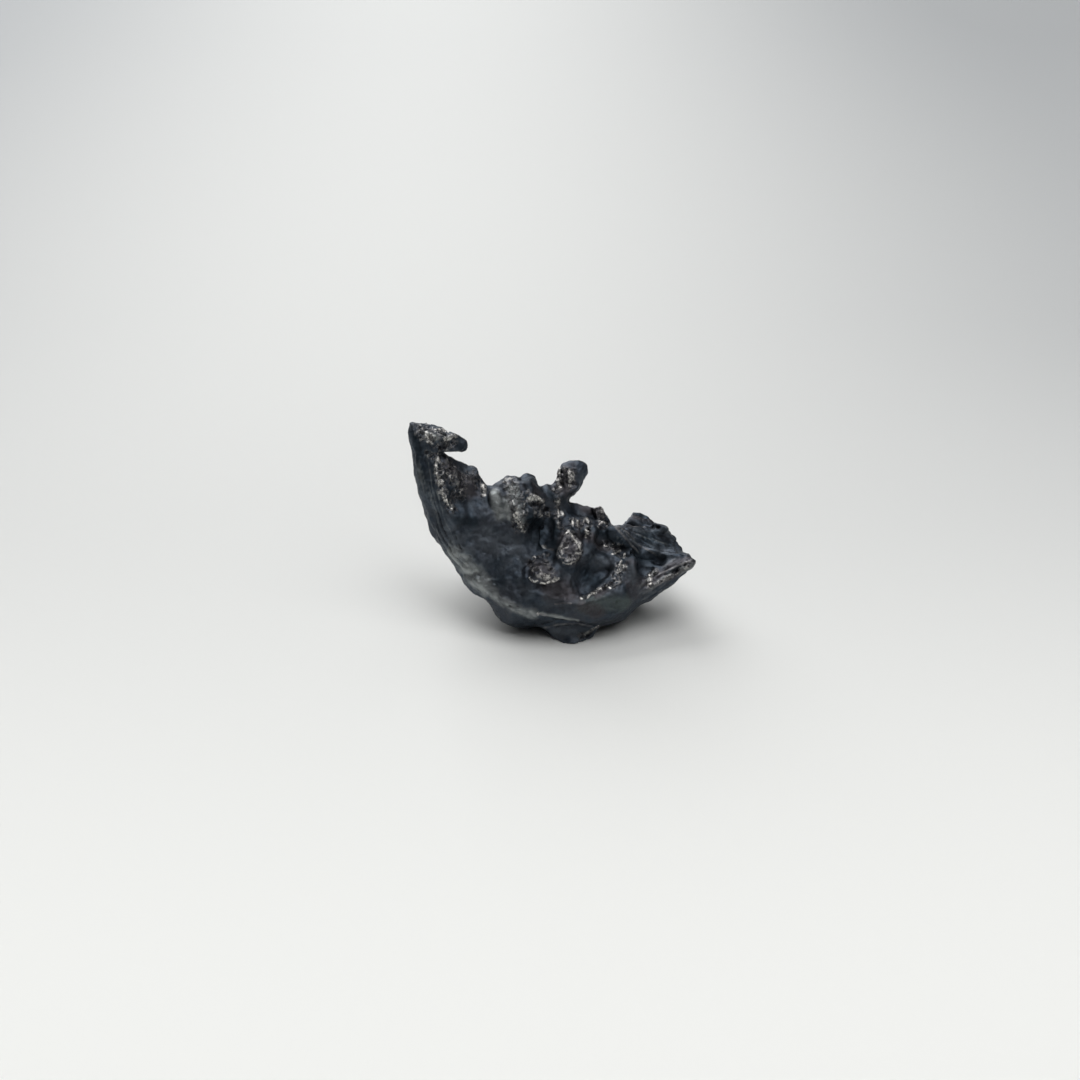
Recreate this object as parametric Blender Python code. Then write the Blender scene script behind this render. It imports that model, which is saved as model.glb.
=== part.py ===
"""A shrapnel meteorite: one torn crescent of nickel-iron, 46 mm from its horned end to its far tip.

The specimen is laid out in its profile frame, in millimetres: "along" runs from the horn to the far tip,
"up" climbs the broad face and "out" stands out of that face. Rough forms are lofted there, fused into
one skin, worked over with strokes that raise ridges and press hollows, and leaned back into the attitude
in which the piece rests. Its three lowest bumps are worn flat where they meet the surface below.
"""

import math

import bmesh
import bpy
import numpy as np
from mathutils import Matrix, Vector, noise
from mathutils.bvhtree import BVHTree

NODE = "meteorite"
MM = 0.001

LEAN_DEG = 30.0  # how far the broad face leans back as the piece rests
FINE_VOXEL = 0.38  # the skin is fused and sculpted at this fineness
MOST_TRIANGLES = 9400

SECTION_POINTS = 40  # points round each lofted section, a multiple of four
STEPS_BETWEEN = 5  # sections interpolated from each stated one to the next
FAR = 80.0  # a distance well outside the piece
IRON_COLOUR = (0.055, 0.057, 0.065)

# Sections along each form: (one edge), (other edge), bulge one way, bulge the other way.
# Every edge point is (along, up, out), and a bulge runs along the form's axis.
OUTWARD = (0, 0, 1)
UPWARD = (0, 1, 0)
CRESCENT = [
    ((-23.0, 35.3, 1.0), (-22.4, 36.0, 1.0), 0.3, 0.3),  # horn tip
    ((-22.9, 34.1, 1.0), (-19.1, 35.2, 1.0), 1.3, 1.2),
    ((-22.7, 32.2, 0.5), (-17.0, 33.4, 0.5), 2.0, 1.8),
    ((-22.4, 30.3, 0.0), (-17.0, 31.1, 0.0), 2.4, 2.4),  # under the beak
    ((-22.0, 27.6, -0.5), (-14.6, 30.2, -0.5), 3.0, 3.4),
    ((-21.2, 24.3, -1.5), (-11.6, 28.8, -1.5), 3.8, 5.0),
    ((-20.0, 20.2, -2.5), (-10.2, 25.9, -2.5), 4.4, 7.0),  # root of the horn
    ((-18.0, 15.6, -3.5), (-7.7, 26.0, -3.5), 5.0, 9.0),
    ((-15.0, 11.5, -4.0), (-4.7, 26.1, -4.0), 5.6, 10.5),
    ((-11.5, 7.2, -4.0), (-1.6, 25.1, -4.5), 6.0, 11.5),
    ((-6.8, 3.3, -4.0), (0.9, 24.6, -5.0), 6.2, 12.0),  # belly
    ((-0.9, 2.5, -3.5), (3.5, 23.1, -5.0), 6.2, 12.0),
    ((5.6, 2.4, -3.0), (6.4, 22.5, -5.0), 6.0, 12.0),
    ((10.6, 3.1, -3.5), (9.0, 21.5, -5.0), 5.6, 11.0),
    ((14.0, 5.6, -4.5), (11.5, 18.9, -5.0), 4.8, 9.0),
    ((17.0, 7.8, -4.5), (14.6, 16.0, -5.0), 3.6, 6.5),
    ((19.8, 9.8, -4.0), (18.6, 15.0, -5.0), 2.4, 4.0),
    ((22.0, 11.9, -3.5), (21.8, 14.5, -4.5), 1.2, 2.0),
    ((23.5, 13.2, -3.0), (23.3, 13.7, -3.0), 0.2, 0.2),  # far tip
]
WING = [
    ((9.8, 17.4, -6.0), (12.2, 20.0, -12.0), 0.6, 3.0),
    ((11.5, 17.0, -5.0), (13.8, 21.4, -14.6), 0.9, 6.0),
    ((13.6, 15.8, -4.6), (16.1, 21.2, -15.6), 0.9, 7.5),
    ((16.2, 14.8, -4.2), (18.6, 19.5, -14.8), 0.8, 7.0),
    ((18.8, 14.2, -3.8), (20.6, 17.8, -12.0), 0.7, 5.0),
    ((21.2, 13.8, -3.4), (22.2, 15.5, -8.0), 0.5, 3.0),
    ((23.0, 13.5, -3.0), (23.3, 13.9, -4.2), 0.2, 0.5),
]
NUB = [
    ((-0.2, 20.5, -4.5), (3.2, 20.0, -4.5), 2.2, 2.0),
    ((0.1, 25.2, -4.0), (3.3, 23.4, -4.0), 1.6, 1.8),
    ((1.0, 27.2, -4.0), (4.6, 25.4, -4.0), 1.8, 2.0),
    ((1.5, 28.6, -4.0), (5.5, 27.1, -4.0), 1.9, 2.0),
    ((1.8, 29.6, -4.0), (6.0, 28.8, -4.0), 1.6, 1.7),
    ((2.7, 30.1, -4.0), (5.8, 29.8, -4.0), 0.8, 1.0),
]
BEAK = [
    ((-21.0, 35.9, 1.0), (-19.5, 31.5, 1.0), 1.2, 1.3),
    ((-19.1, 35.7, 1.0), (-17.2, 31.9, 1.0), 1.4, 1.5),
    ((-17.3, 35.1, 1.0), (-16.4, 32.3, 1.0), 1.3, 1.4),
    ((-15.7, 34.5, 1.0), (-15.4, 32.4, 1.0), 1.2, 1.2),
    ((-14.5, 33.8, 1.0), (-14.8, 31.7, 1.0), 1.1, 1.1),
    ((-13.7, 33.0, 1.0), (-14.3, 31.5, 1.0), 0.9, 0.9),
    ((-13.4, 32.4, 1.0), (-13.7, 31.9, 1.0), 0.4, 0.4),
]
FOOT = [
    ((-2.0, 4.4, -4.0), (-1.2, 2.3, -3.0), 0.4, 1.6),
    ((-0.5, 6.0, -4.0), (0.6, 0.7, -2.0), 0.6, 2.2),
    ((1.6, 7.0, -4.0), (2.6, -0.4, -1.0), 0.8, 2.6),
    ((3.6, 7.0, -4.0), (4.6, -0.3, -1.0), 0.8, 2.6),
    ((5.8, 6.0, -4.0), (6.8, 1.0, -1.8), 0.6, 2.2),
    ((8.0, 4.4, -4.0), (8.6, 2.8, -3.0), 0.4, 1.4),
]
FORMS = [
    (CRESCENT, OUTWARD, "face"),
    (WING, UPWARD, "round"),
    (NUB, OUTWARD, "round"),
    (BEAK, OUTWARD, "round"),
    (FOOT, OUTWARD, "round"),
]

# Each side of a section: where its crest stands between the edges, then the exponents of the fall to each edge.
ROUND = (0.5, (2.0, 0.5), (2.0, 0.5))
SECTION_SHAPES = {
    "round": (ROUND, ROUND),
    "face": ((0.26, (2.0, 0.5), (1.8, 0.75)), (0.34, (1.3, 0.88), (1.2, 0.9))),
}

# Rounded masses that grow out of the crescent: centre, radii, both (along, up, out), and tilt in the face.
LUMPS = [
    ((-7.9, 23.4, -2.4), (2.6, 3.4, 3.8), 14),  # left boss of the torn rim
    ((-4.2, 22.8, -2.0), (3.4, 4.4, 4.6), 4),  # right boss of the torn rim
    ((-0.6, 23.6, -3.4), (1.7, 2.2, 3.2), 0),
    ((13.0, 11.9, -1.8), (1.6, 3.0, 2.4), -8),  # smooth hump right of the bowl
    ((14.6, 21.0, -15.0), (2.2, 0.9, 1.6), 10),  # knob on the wing's crest
    ((15.6, 8.6, -7.6), (2.8, 1.1, 2.4), 32),  # ledge under the far tip
    ((-6.5, 8.3, -12.0), (3.4, 1.7, 2.4), 8),  # back rests, left and right
    ((9.0, 8.3, -12.0), (3.2, 1.7, 2.4), -8),
]

# Strokes, worked in this order: face, path of marks, reach, rise (a hollow where negative), profile.
# A mark on the front or back is (along, up), and one on the top or underside is (along, out).
STROKES = [
    ("back", [(-5.0, 17.0), (0.5, 16.0)], 7.0, -3.0, "scoop"),  # great hollow behind the rim
    ("back", [(-13.5, 20.5)], 5.0, -1.8, "scoop"),
    ("back", [(8.5, 12.5)], 4.4, -2.0, "scoop"),
    ("back", [(-7.5, 9.5)], 3.6, -1.0, "scoop"),
    ("back", [(-18.6, 27.4), (-17.4, 24.5)], 2.8, -1.2, "scoop"),
    ("under", [(0.5, -9.5)], 6.5, -2.6, "soft"),  # arch between the three points of rest
    ("under", [(5.5, -5.5)], 5.0, -1.4, "soft"),
    ("under", [(-11.5, -5.5)], 4.0, -1.2, "scoop"),
    ("under", [(14.5, -8.5)], 3.4, -1.3, "scoop"),
    ("top", [(3.5, -8.0)], 2.6, -1.0, "scoop"),
    ("back", [(-21.0, 31.5), (-17.0, 22.0)], 2.5, -0.9, "facet"),
    ("back", [(16.5, 13.0)], 4.5, -1.0, "facet"),
    ("back", [(1.0, 8.0)], 5.0, -0.8, "facet"),
    ("under", [(-6.0, -6.0)], 4.5, -0.6, "facet"),
    ("under", [(7.0, -6.0)], 4.5, -0.6, "facet"),
    ("front", [(-4.6, 24.2)], 2.6, -0.5, "facet"),
    ("front", [(-7.6, 24.6)], 2.0, -0.4, "facet"),
    ("front", [(3.0, 27.6)], 2.4, -0.5, "facet"),
    ("front", [(3.9, 24.6)], 2.0, -0.3, "facet"),
    ("front", [(-8.2, 13.9)], 7.0, -0.9, "soft"),  # slack of the dark face
    ("front", [(-11.6, 17.4)], 2.2, -0.5, "scoop"),
    ("front", [(-6.2, 9.2)], 2.4, -0.5, "scoop"),
    ("front", [(-13.2, 13.0)], 2.6, -0.4, "facet"),
    ("front", [(8.6, 6.6)], 3.4, -0.5, "facet"),  # lower right cheek
    ("front", [(-0.5, 6.9)], 3.6, -0.4, "facet"),
    ("front", [(-15.2, 14.8), (-11.7, 10.2), (-7.8, 7.2), (-2.4, 5.8), (3.0, 5.6)], 1.4, 0.5, "crest"),
    ("front", [(-1.6, 19.2), (-1.6, 16.0)], 2.3, -1.8, "scoop"),  # pocket under the rim
    ("front", [(1.4, 23.4), (1.1, 20.3), (0.3, 16.3)], 1.5, 1.2, "crest"),  # stem of the nub
    ("front", [(6.2, 10.4), (8.3, 12.6)], 3.2, -2.0, "scoop"),  # bowl
    ("front", [(8.4, 17.2), (12.0, 15.7)], 1.8, -1.7, "scoop"),  # shadowed slot
    ("front", [(4.4, 19.2)], 2.0, 1.0, "plate"),  # crumbled knob
    ("front", [(3.2, 17.4), (2.5, 14.2)], 2.0, 1.1, "plate"),  # torn scale above the bowl
    ("front", [(-2.2, 11.8), (0.4, 11.5)], 1.6, 1.0, "plate"),  # torn scale left of the bowl
    ("front", [(4.9, 14.4), (3.4, 12.6)], 1.0, 0.7, "crest"),
    ("front", [(9.8, 15.8), (10.4, 13.1), (9.6, 10.7), (7.8, 9.1), (5.4, 7.8)], 1.1, 1.0, "crest"),
    ("front", [(15.4, 12.4)], 2.3, -1.3, "scoop"),
    ("front", [(17.2, 10.2), (19.7, 11.9), (22.2, 13.2)], 1.1, 0.5, "plate"),  # layered wedge
    ("front", [(-18.4, 33.0), (-18.3, 29.6), (-17.8, 26.7), (-16.7, 23.0), (-15.9, 20.3)], 1.5, 0.8, "crest"),
    ("front", [(-20.2, 29.0), (-18.6, 22.0), (-15.8, 16.0)], 1.6, -0.4, "soft"),
    ("front", [(-14.0, 23.5)], 2.8, -1.0, "scoop"),
    ("front", [(-17.2, 34.3)], 0.9, -0.6, "scoop"),  # pit like an eye on the beak
    ("front", [(-9.2, 24.8), (-9.0, 22.0)], 1.2, 0.9, "crest"),
    ("front", [(-6.6, 26.0), (-6.3, 23.0), (-5.2, 20.6)], 1.2, 0.9, "crest"),
    ("front", [(-3.8, 26.2), (-3.9, 23.0), (-3.0, 20.4)], 1.3, 1.0, "crest"),
    ("front", [(-1.4, 24.4), (-2.0, 20.8)], 1.0, 0.8, "crest"),
    ("front", [(-10.4, 24.6), (-9.9, 22.7), (-8.6, 21.1)], 1.1, -1.2, "soft"),
    ("front", [(4.2, 21.7), (7.8, 20.6)], 1.1, -0.9, "soft"),
    ("front", [(8.6, 20.6), (10.6, 18.6), (13.4, 15.0)], 1.2, 0.8, "crest"),
    ("front", [(-12.6, 26.6), (-13.4, 22.6), (-12.4, 19.4)], 1.3, 0.9, "crest"),  # frayed inner edge
    ("front", [(-15.6, 28.4), (-15.2, 25.8)], 1.0, 0.6, "crest"),
    ("front", [(-19.8, 33.6), (-17.4, 33.2), (-15.4, 33.4)], 1.2, 0.7, "crest"),
    ("front", [(6.6, 19.0), (6.4, 16.2)], 1.2, 1.0, "crest"),
    ("front", [(0.8, 13.4), (2.2, 12.2)], 1.0, 0.7, "crest"),
    ("front", [(13.0, 7.6), (9.6, 8.2), (4.6, 6.6), (-3.0, 8.2)], 1.3, 0.6, "crest"),
    ("top", [(11.5, -7.0), (16.5, -9.0)], 1.1, 0.6, "crest"),  # rays of the wing
    ("top", [(12.0, -10.0), (18.0, -11.5)], 1.1, 0.6, "crest"),
    ("back", [(-15.0, 26.5), (-11.0, 17.5), (-11.5, 11.0)], 1.8, 1.0, "crest"),  # ribs of the torn back
    ("back", [(4.5, 20.5), (5.0, 14.5), (3.0, 9.0)], 1.8, 1.1, "crest"),
    ("back", [(-2.5, 12.5)], 2.2, -1.0, "scoop"),
    ("back", [(-6.5, 19.5)], 2.4, -0.8, "scoop"),
    ("back", [(9.5, 17.5), (12.5, 17.0)], 1.6, 0.8, "crest"),
]


def catmull_rom(rows, steps):
    """The rows of numbers and the smooth in-between rows of the curve that passes through them."""
    rows = np.array(rows, float)
    ends = np.vstack([2 * rows[0] - rows[1], rows, 2 * rows[-1] - rows[-2]])
    out = []
    for a, b, c, d in zip(ends, ends[1:], ends[2:], ends[3:]):
        for t in np.arange(steps) / steps:
            out.append(
                0.5
                * (
                    2 * b
                    + (c - a) * t
                    + (2 * a - 5 * b + 4 * c - d) * t**2
                    + (3 * b - a - 3 * c + d) * t**3
                )
            )
    return np.array(out + [rows[-1]])


def side_of_section(bulge, shape):
    """(share of the way across, height) from the first edge to the crest and on, short of the other edge."""
    crest, falls_first, falls_last = shape
    quarter = SECTION_POINTS // 4
    side = []
    for i in range(2 * quarter):
        part = math.sin(math.pi / 2 * abs(quarter - i) / quarter)  # 1 at an edge, 0 at the crest
        first = i < quarter
        power, root = falls_first if first else falls_last
        across = crest * (1 - part) if first else crest + (1 - crest) * part
        side.append((across, bulge * max(1 - part**power, 0) ** root))
    return side


def section_loop(edge, other, near, far, axis, shapes):
    """Points round one section, out along the axis and back on the far side of it."""
    there = side_of_section(near, shapes[0])
    back = [(1, 0)] + [(x, -h) for x, h in reversed(side_of_section(far, shapes[1]))][:-1]
    return [edge + (other - edge) * x + np.array(axis) * h for x, h in there + back]


def loft(bm, sections, axis, shapes):
    """Adds a closed skin through the sections."""
    rows = catmull_rom(
        [[*edge, *other, near, far] for edge, other, near, far in sections],
        STEPS_BETWEEN,
    )
    loops = [
        [bm.verts.new(p) for p in section_loop(r[:3], r[3:6], r[6], r[7], axis, shapes)]
        for r in rows
    ]
    count = len(loops[0])
    for near, far in zip(loops, loops[1:]):
        for i in range(count):
            j = (i + 1) % count
            bm.faces.new((near[i], near[j], far[j], far[i]))
    bm.faces.new(reversed(loops[0]))
    bm.faces.new(loops[-1])


def lump(bm, centre, radii, tilt):
    place = Matrix.Translation(centre) @ Matrix.Rotation(math.radians(tilt), 4, "Z")
    bmesh.ops.create_icosphere(
        bm, subdivisions=3, radius=1, matrix=place @ Matrix.Diagonal((*radii, 1))
    )


def fused(mesh, voxel, soften):
    """One closed skin round everything in the mesh, with its facets softened."""
    rough = bpy.data.objects.new("rough", mesh)
    bpy.context.scene.collection.objects.link(rough)
    remesh = rough.modifiers.new("Fuse", "REMESH")
    remesh.mode = "VOXEL"
    remesh.voxel_size = voxel
    smooth = rough.modifiers.new("Soften", "SMOOTH")
    smooth.factor = 0.5
    smooth.iterations = soften
    graph = bpy.context.evaluated_depsgraph_get()
    skin = bpy.data.meshes.new_from_object(rough.evaluated_get(graph))
    bpy.data.objects.remove(rough)
    return skin


def rough_forms():
    """The lofted forms and lumps, overlapping in one mesh."""
    bm = bmesh.new()
    for sections, axis, shapes in FORMS:
        loft(bm, sections, axis, SECTION_SHAPES[shapes])
    for centre, radii, tilt in LUMPS:
        lump(bm, centre, radii, tilt)
    bmesh.ops.recalc_face_normals(bm, faces=bm.faces)
    mesh = bpy.data.meshes.new("rough")
    bm.to_mesh(mesh)
    bm.free()
    return mesh


def vertex_array(mesh, kind):
    values = np.empty(len(mesh.vertices) * 3)
    mesh.vertices.foreach_get(kind, values)
    return values.reshape(-1, 3)


def move_vertices(mesh, points):
    mesh.vertices.foreach_set("co", points.ravel())
    mesh.update()


def touch(tree, face, a, b):
    """Where a mark on that face meets the skin."""
    start, way = {
        "front": ((a, b, FAR), (0, 0, -1)),
        "back": ((a, b, -FAR), (0, 0, 1)),
        "top": ((a, FAR, b), (0, -1, 0)),
        "under": ((a, -FAR, b), (0, 1, 0)),
    }[face]
    place, normal, _, _ = tree.ray_cast(Vector(start), Vector(way))
    if place is None:
        raise ValueError(f"the mark {(a, b)} misses the {face} face")
    return place, normal


def distance_to(points, path):
    """Each point's distance to the nearest stretch of the path."""
    nearest = np.full(len(points), np.inf)
    for a, b in zip(path, path[1:] if len(path) > 1 else path):
        run = b - a
        along = np.clip((points - a) @ run / max(run @ run, 1e-9), 0, 1)
        gap = np.linalg.norm(points - a - along[:, None] * run, axis=1)
        nearest = np.minimum(nearest, gap)
    return nearest


PROFILES = {
    "scoop": lambda share: 1 - share**2,  # a bowl with a crisp rim
    "soft": lambda share: (1 - share**2) ** 2,
    "crest": lambda share: (1 - share) ** 1.4,  # a ridge with a sharp top
    "facet": lambda share: np.clip(4 - 4 * share, 0, 1),
    "plate": lambda share: np.clip(4 - 4 * share, 0, 1),  # a flat top with steep sides
}


def stroke(mesh, face, marks, reach, rise, profile):
    """Raises or presses the skin along a path of marks, or planes it down to a facet."""
    tree = BVHTree.FromPolygons(
        [v.co for v in mesh.vertices], [p.vertices for p in mesh.polygons]
    )
    touched = [touch(tree, face, a, b) for a, b in marks]
    path = np.array([place for place, _ in touched])
    points = vertex_array(mesh, "co")
    normals = vertex_array(mesh, "normal")
    share = np.clip(distance_to(points, path) / reach, 0, 1)
    heading = np.array([normal for _, normal in touched]).mean(axis=0)
    near = (share < 0.7) & (normals @ heading > 0.3)
    heading = normals[near].mean(axis=0)
    heading /= np.linalg.norm(heading)
    amount = PROFILES[profile](share) * np.clip(normals @ heading * 2, 0, 1)
    if profile == "facet":
        over = (points - path.mean(axis=0)) @ heading - rise
        amount *= -np.clip(over, 0, None)
    else:
        amount *= rise
    move_vertices(mesh, points + amount[:, None] * heading)


def roughen(mesh, scale, height, octaves, offset):
    """Uneven relief all over, of that scale and height."""
    points = vertex_array(mesh, "co")
    relief = [
        noise.fractal(Vector(p) / scale + Vector(offset), 1.0, 2.0, octaves)
        for p in points
    ]
    normals = vertex_array(mesh, "normal")
    move_vertices(mesh, points + height * np.array(relief)[:, None] * normals)


def lean_back(mesh):
    """Turns the profile frame into the frame of rest: X along, Y to the back and Z up, in metres."""
    lean = math.radians(LEAN_DEG)
    rest = Matrix(
        (
            (1, 0, 0, 0),
            (0, math.sin(lean), -math.cos(lean), 0),
            (0, math.cos(lean), math.sin(lean), 0),
            (0, 0, 0, 1),
        )
    )
    mesh.transform(Matrix.Scale(MM, 4) @ rest)


def wear_flat(mesh, within):
    """Levels what lies below the surface of rest, or within that height of it."""
    points = vertex_array(mesh, "co")
    points[points[:, 2] < within, 2] = 0
    move_vertices(mesh, points)


def thinned(mesh, most_triangles):
    """The mesh with its small faces merged where the skin is flattest."""
    full = bpy.data.objects.new("full", mesh)
    bpy.context.scene.collection.objects.link(full)
    decimate = full.modifiers.new("Thin", "DECIMATE")
    decimate.ratio = most_triangles / (2 * len(mesh.polygons))
    graph = bpy.context.evaluated_depsgraph_get()
    thin = bpy.data.meshes.new_from_object(full.evaluated_get(graph))
    bpy.data.objects.remove(full)
    return thin


def centre_on_base(mesh):
    points = vertex_array(mesh, "co")
    low, high = points.min(axis=0), points.max(axis=0)
    middle = (low + high) / 2
    mesh.transform(Matrix.Translation((-middle[0], -middle[1], -low[2])))


def dark_iron():
    material = bpy.data.materials.new("dark_iron")
    material.use_nodes = True
    shader = material.node_tree.nodes["Principled BSDF"]
    shader.inputs["Base Color"].default_value = (*IRON_COLOUR, 1)
    shader.inputs["Metallic"].default_value = 1
    shader.inputs["Roughness"].default_value = 0.42
    return material


def sculpted_skin():
    skin = fused(rough_forms(), FINE_VOXEL, 2)
    roughen(skin, 7.0, 0.6, 3, (0, 0, 0))
    for face, marks, reach, rise, profile in STROKES:
        stroke(skin, face, marks, reach, rise, profile)
    roughen(skin, 2.2, 0.35, 3, (9, 4, 2))
    return fused(skin, FINE_VOXEL, 0)


def main():
    for obj in list(bpy.data.objects):
        bpy.data.objects.remove(obj)
    skin = sculpted_skin()
    lean_back(skin)
    wear_flat(skin, 0)
    skin = thinned(skin, MOST_TRIANGLES)
    wear_flat(skin, 0.02 * MM)
    centre_on_base(skin)
    skin.materials.clear()
    skin.materials.append(dark_iron())
    skin.shade_smooth()
    piece = bpy.data.objects.new(NODE, skin)
    bpy.context.scene.collection.objects.link(piece)


main()
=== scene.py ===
"""Looks for the shrapnel meteorite: a finely worked skin of dark, torn nickel-iron.

The skin takes the place of the CAD solid and is made from it at run time. It is worked in the
meteorite's profile frame, in millimetres: "along" runs from the horn to the far tip, "up" climbs
the broad face and "out" stands out of that face. The marks that place its details are
(along, up) as they look from the camera, unless a comment says otherwise.
"""

import math

import bmesh
import bpy
import numpy as np
from mathutils import Matrix, Vector, noise
from mathutils.bvhtree import BVHTree


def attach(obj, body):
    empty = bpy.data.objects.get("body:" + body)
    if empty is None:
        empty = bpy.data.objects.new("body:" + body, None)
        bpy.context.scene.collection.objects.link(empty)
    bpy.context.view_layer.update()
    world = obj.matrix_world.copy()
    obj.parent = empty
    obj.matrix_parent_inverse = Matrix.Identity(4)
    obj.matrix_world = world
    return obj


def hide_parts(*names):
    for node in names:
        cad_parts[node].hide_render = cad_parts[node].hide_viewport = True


NODE = "meteorite"
MM = 0.001

# The profile frame's place in the row frame: leaned back about X, with this origin.
LEAN = math.radians(30)
PROFILE_ORIGIN = Vector((-0.14, -12.51, 0.0))  # mm

# The camera looks square at the broad face.
LENS_MM = 60
SENSOR_MM = 36
NEAREST_SEEN = 0.01  # m
CAMERA_DISTANCE = 290.0  # mm out from the profile plane
CAMERA_AIM = (-1.77, 17.08)  # (along, up) where its axis meets that plane
SEEN_FROM = (*CAMERA_AIM, CAMERA_DISTANCE)

SOFTBOX_DISTANCE = 1.1  # m
SOFTBOX_SIDE = 0.8  # m
SOFTBOX_AIM = Vector((0, 0, 0.01))  # m
SOFTBOXES = [  # name, bearing and height in degrees, watts
    ("right", 60, 62, 3.4),
    ("back_left", 210, 35, 9.2),
    ("back", 180, 62, 2.6),
    ("overhead", 0, 88, 3.9),
]
SKY_TINT = (0.93, 0.96, 1, 1)
SKY_BY_HEIGHT = ((-0.1, 0.95), (0.05, 0.08))  # a span of the view's Z, and the strength at its ends
SKY_BY_DEPTH = ((-0.8, 0.35), (0.45, 1.0))  # a span of its Y, and the share at its ends

# The floor, in metres, and its painted shade, which darkens the paper towards the back and the
# sides where the light falls off: a span of floor, and the share of painted shade at its ends.
FLOOR_REACH = 3.0
LIGHTEST_X = -0.035
SHADE_MIDDLE = (-0.12, 0.04, 0, 0.37)
SHADE_BACK = (0.04, 0.45, 0, 0.18)
SHADE_BACK_CORNERS = (-0.06, 0.13, 0, 0.47)
CORNER_SPAN = (0.0, 0.2)
PAPER_ROUGHNESS = 0.8

NOISE_SEED = 5  # the same relief each time
SKIN_VOXEL = 0.216  # mm
SKIN_SMOOTHING = 0.5  # share of the way to its neighbours that each round moves a point
SKIN_ROUNDS = 3
FAR = 80.0  # mm, well outside the piece

# Colours, linear.
FLOOR_NEAR = (0.88, 0.885, 0.86)
# Painted shade of the floor paper, for the light's fall-off far from the lamps.
FLOOR_PAINTED_SHADE = (0.375, 0.385, 0.392)
BLUE_BLACK = (0.045, 0.058, 0.076)
GUNMETAL = (0.074, 0.088, 0.106)
DUSK = (0.072, 0.072, 0.080)
UMBER = (0.080, 0.075, 0.082)
# Pale grey of painted sheen: the reflection of the floor and the lamps, painted on.
SHEEN_GREY = (0.33, 0.35, 0.35)
# Greenish grey, lighter as a painted reflection of the floor.
GREEN_SHEEN = (0.095, 0.116, 0.116)
# Torn grey metal, also used for the faint lines of painted highlight.
TORN_GREY_AND_HIGHLIGHT = (0.23, 0.225, 0.228)
# Bright metal, also painted as glints and highlights.
METAL_AND_GLINT = (0.85, 0.83, 0.79)
# Near-black painted shade in pits, sunk streaks and the cracks between chips.
PIT_SHADE = (0.010, 0.010, 0.012)
# Dark blue of painted shade in hollows.
SHADE_BLUE = (0.020, 0.029, 0.038)
# Steel blue, lighter as painted light.
LIT_STEEL_BLUE = (0.105, 0.120, 0.140)

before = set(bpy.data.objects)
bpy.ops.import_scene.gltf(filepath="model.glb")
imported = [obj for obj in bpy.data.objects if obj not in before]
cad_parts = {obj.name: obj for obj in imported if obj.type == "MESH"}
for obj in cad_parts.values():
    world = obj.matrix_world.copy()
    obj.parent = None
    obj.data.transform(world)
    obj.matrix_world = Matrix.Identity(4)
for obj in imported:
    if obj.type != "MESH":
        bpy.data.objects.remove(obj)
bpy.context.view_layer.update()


# ---------------------------------------------------------------- frames


def profile_to_row():
    """The matrix from the profile frame, in millimetres, to the row frame, in metres."""
    rest = Matrix(
        (
            (1, 0, 0, 0),
            (0, math.sin(LEAN), -math.cos(LEAN), 0),
            (0, math.cos(LEAN), math.sin(LEAN), 0),
            (0, 0, 0, 1),
        )
    )
    return Matrix.Scale(MM, 4) @ Matrix.Translation(PROFILE_ORIGIN) @ rest


def seen_ray(a, b):
    """A start and a way for the sight line through (a, b) on the profile plane."""
    return SEEN_FROM, (a - SEEN_FROM[0], b - SEEN_FROM[1], -SEEN_FROM[2])


def falling_ray(a, out):
    """A start and a way for the line that falls on the torn rim at (a, out)."""
    return (a, FAR, out), (0, -1, 0)


def seen_place(a, b, out):
    """The place at that depth which looks to be at (a, b)."""
    shrink = (SEEN_FROM[2] - out) / SEEN_FROM[2]
    return (
        SEEN_FROM[0] + (a - SEEN_FROM[0]) * shrink,
        SEEN_FROM[1] + (b - SEEN_FROM[1]) * shrink,
        out,
    )


# ---------------------------------------------------------------- camera, stage and lights

RANGE_SOCKETS = ("From Min", "From Max", "To Min", "To Max")  # of a Map Range node


def look_at(obj, target):
    obj.rotation_euler = (target - obj.location).to_track_quat("-Z", "Y").to_euler()


def add_camera():
    data = bpy.data.cameras.new("camera")
    data.lens = LENS_MM
    data.sensor_width = SENSOR_MM
    data.clip_start = NEAREST_SEEN
    camera = bpy.data.objects.new("camera", data)
    camera.location = profile_to_row() @ Vector(SEEN_FROM)
    camera.rotation_euler = (math.radians(90) - LEAN, 0, 0)
    bpy.context.scene.collection.objects.link(camera)
    bpy.context.scene.camera = camera


def add_floor():
    mesh = bpy.data.meshes.new("floor")
    side = FLOOR_REACH
    corners = [(-side, -side, 0), (side, -side, 0), (side, side, 0), (-side, side, 0)]
    mesh.from_pydata(corners, [], [(0, 1, 2, 3)])
    floor = bpy.data.objects.new("floor", mesh)
    bpy.context.scene.collection.objects.link(floor)
    mesh.materials.append(floor_paper())


def floor_paper():
    """Pale paper with painted shade towards the back of the table and its sides, standing in for
    the light's fall-off there.
    """
    s = Shader("floor_paper")
    split = s.tree.nodes.new("ShaderNodeSeparateXYZ")
    s.link(s.position, split.inputs[0])
    depth = split.outputs["Y"]
    side = s.math("ABSOLUTE", s.math("ADD", split.outputs["X"], -LIGHTEST_X))
    # Painted shade: the paper darkens towards the back and its back corners, where the light falls
    # off.
    corners = s.both(s.ramp(side, *CORNER_SPAN), s.ramp(depth, *SHADE_BACK_CORNERS))
    back = s.math("ADD", s.ramp(depth, *SHADE_MIDDLE), s.ramp(depth, *SHADE_BACK))
    painted_shade = s.math("ADD", back, corners, clamp=True)
    s.link(s.mix(painted_shade, FLOOR_NEAR, FLOOR_PAINTED_SHADE), s.surface.inputs["Base Color"])
    s.surface.inputs["Roughness"].default_value = PAPER_ROUGHNESS
    s.surface.inputs["Specular IOR Level"].default_value = 0.0
    return s.material


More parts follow.
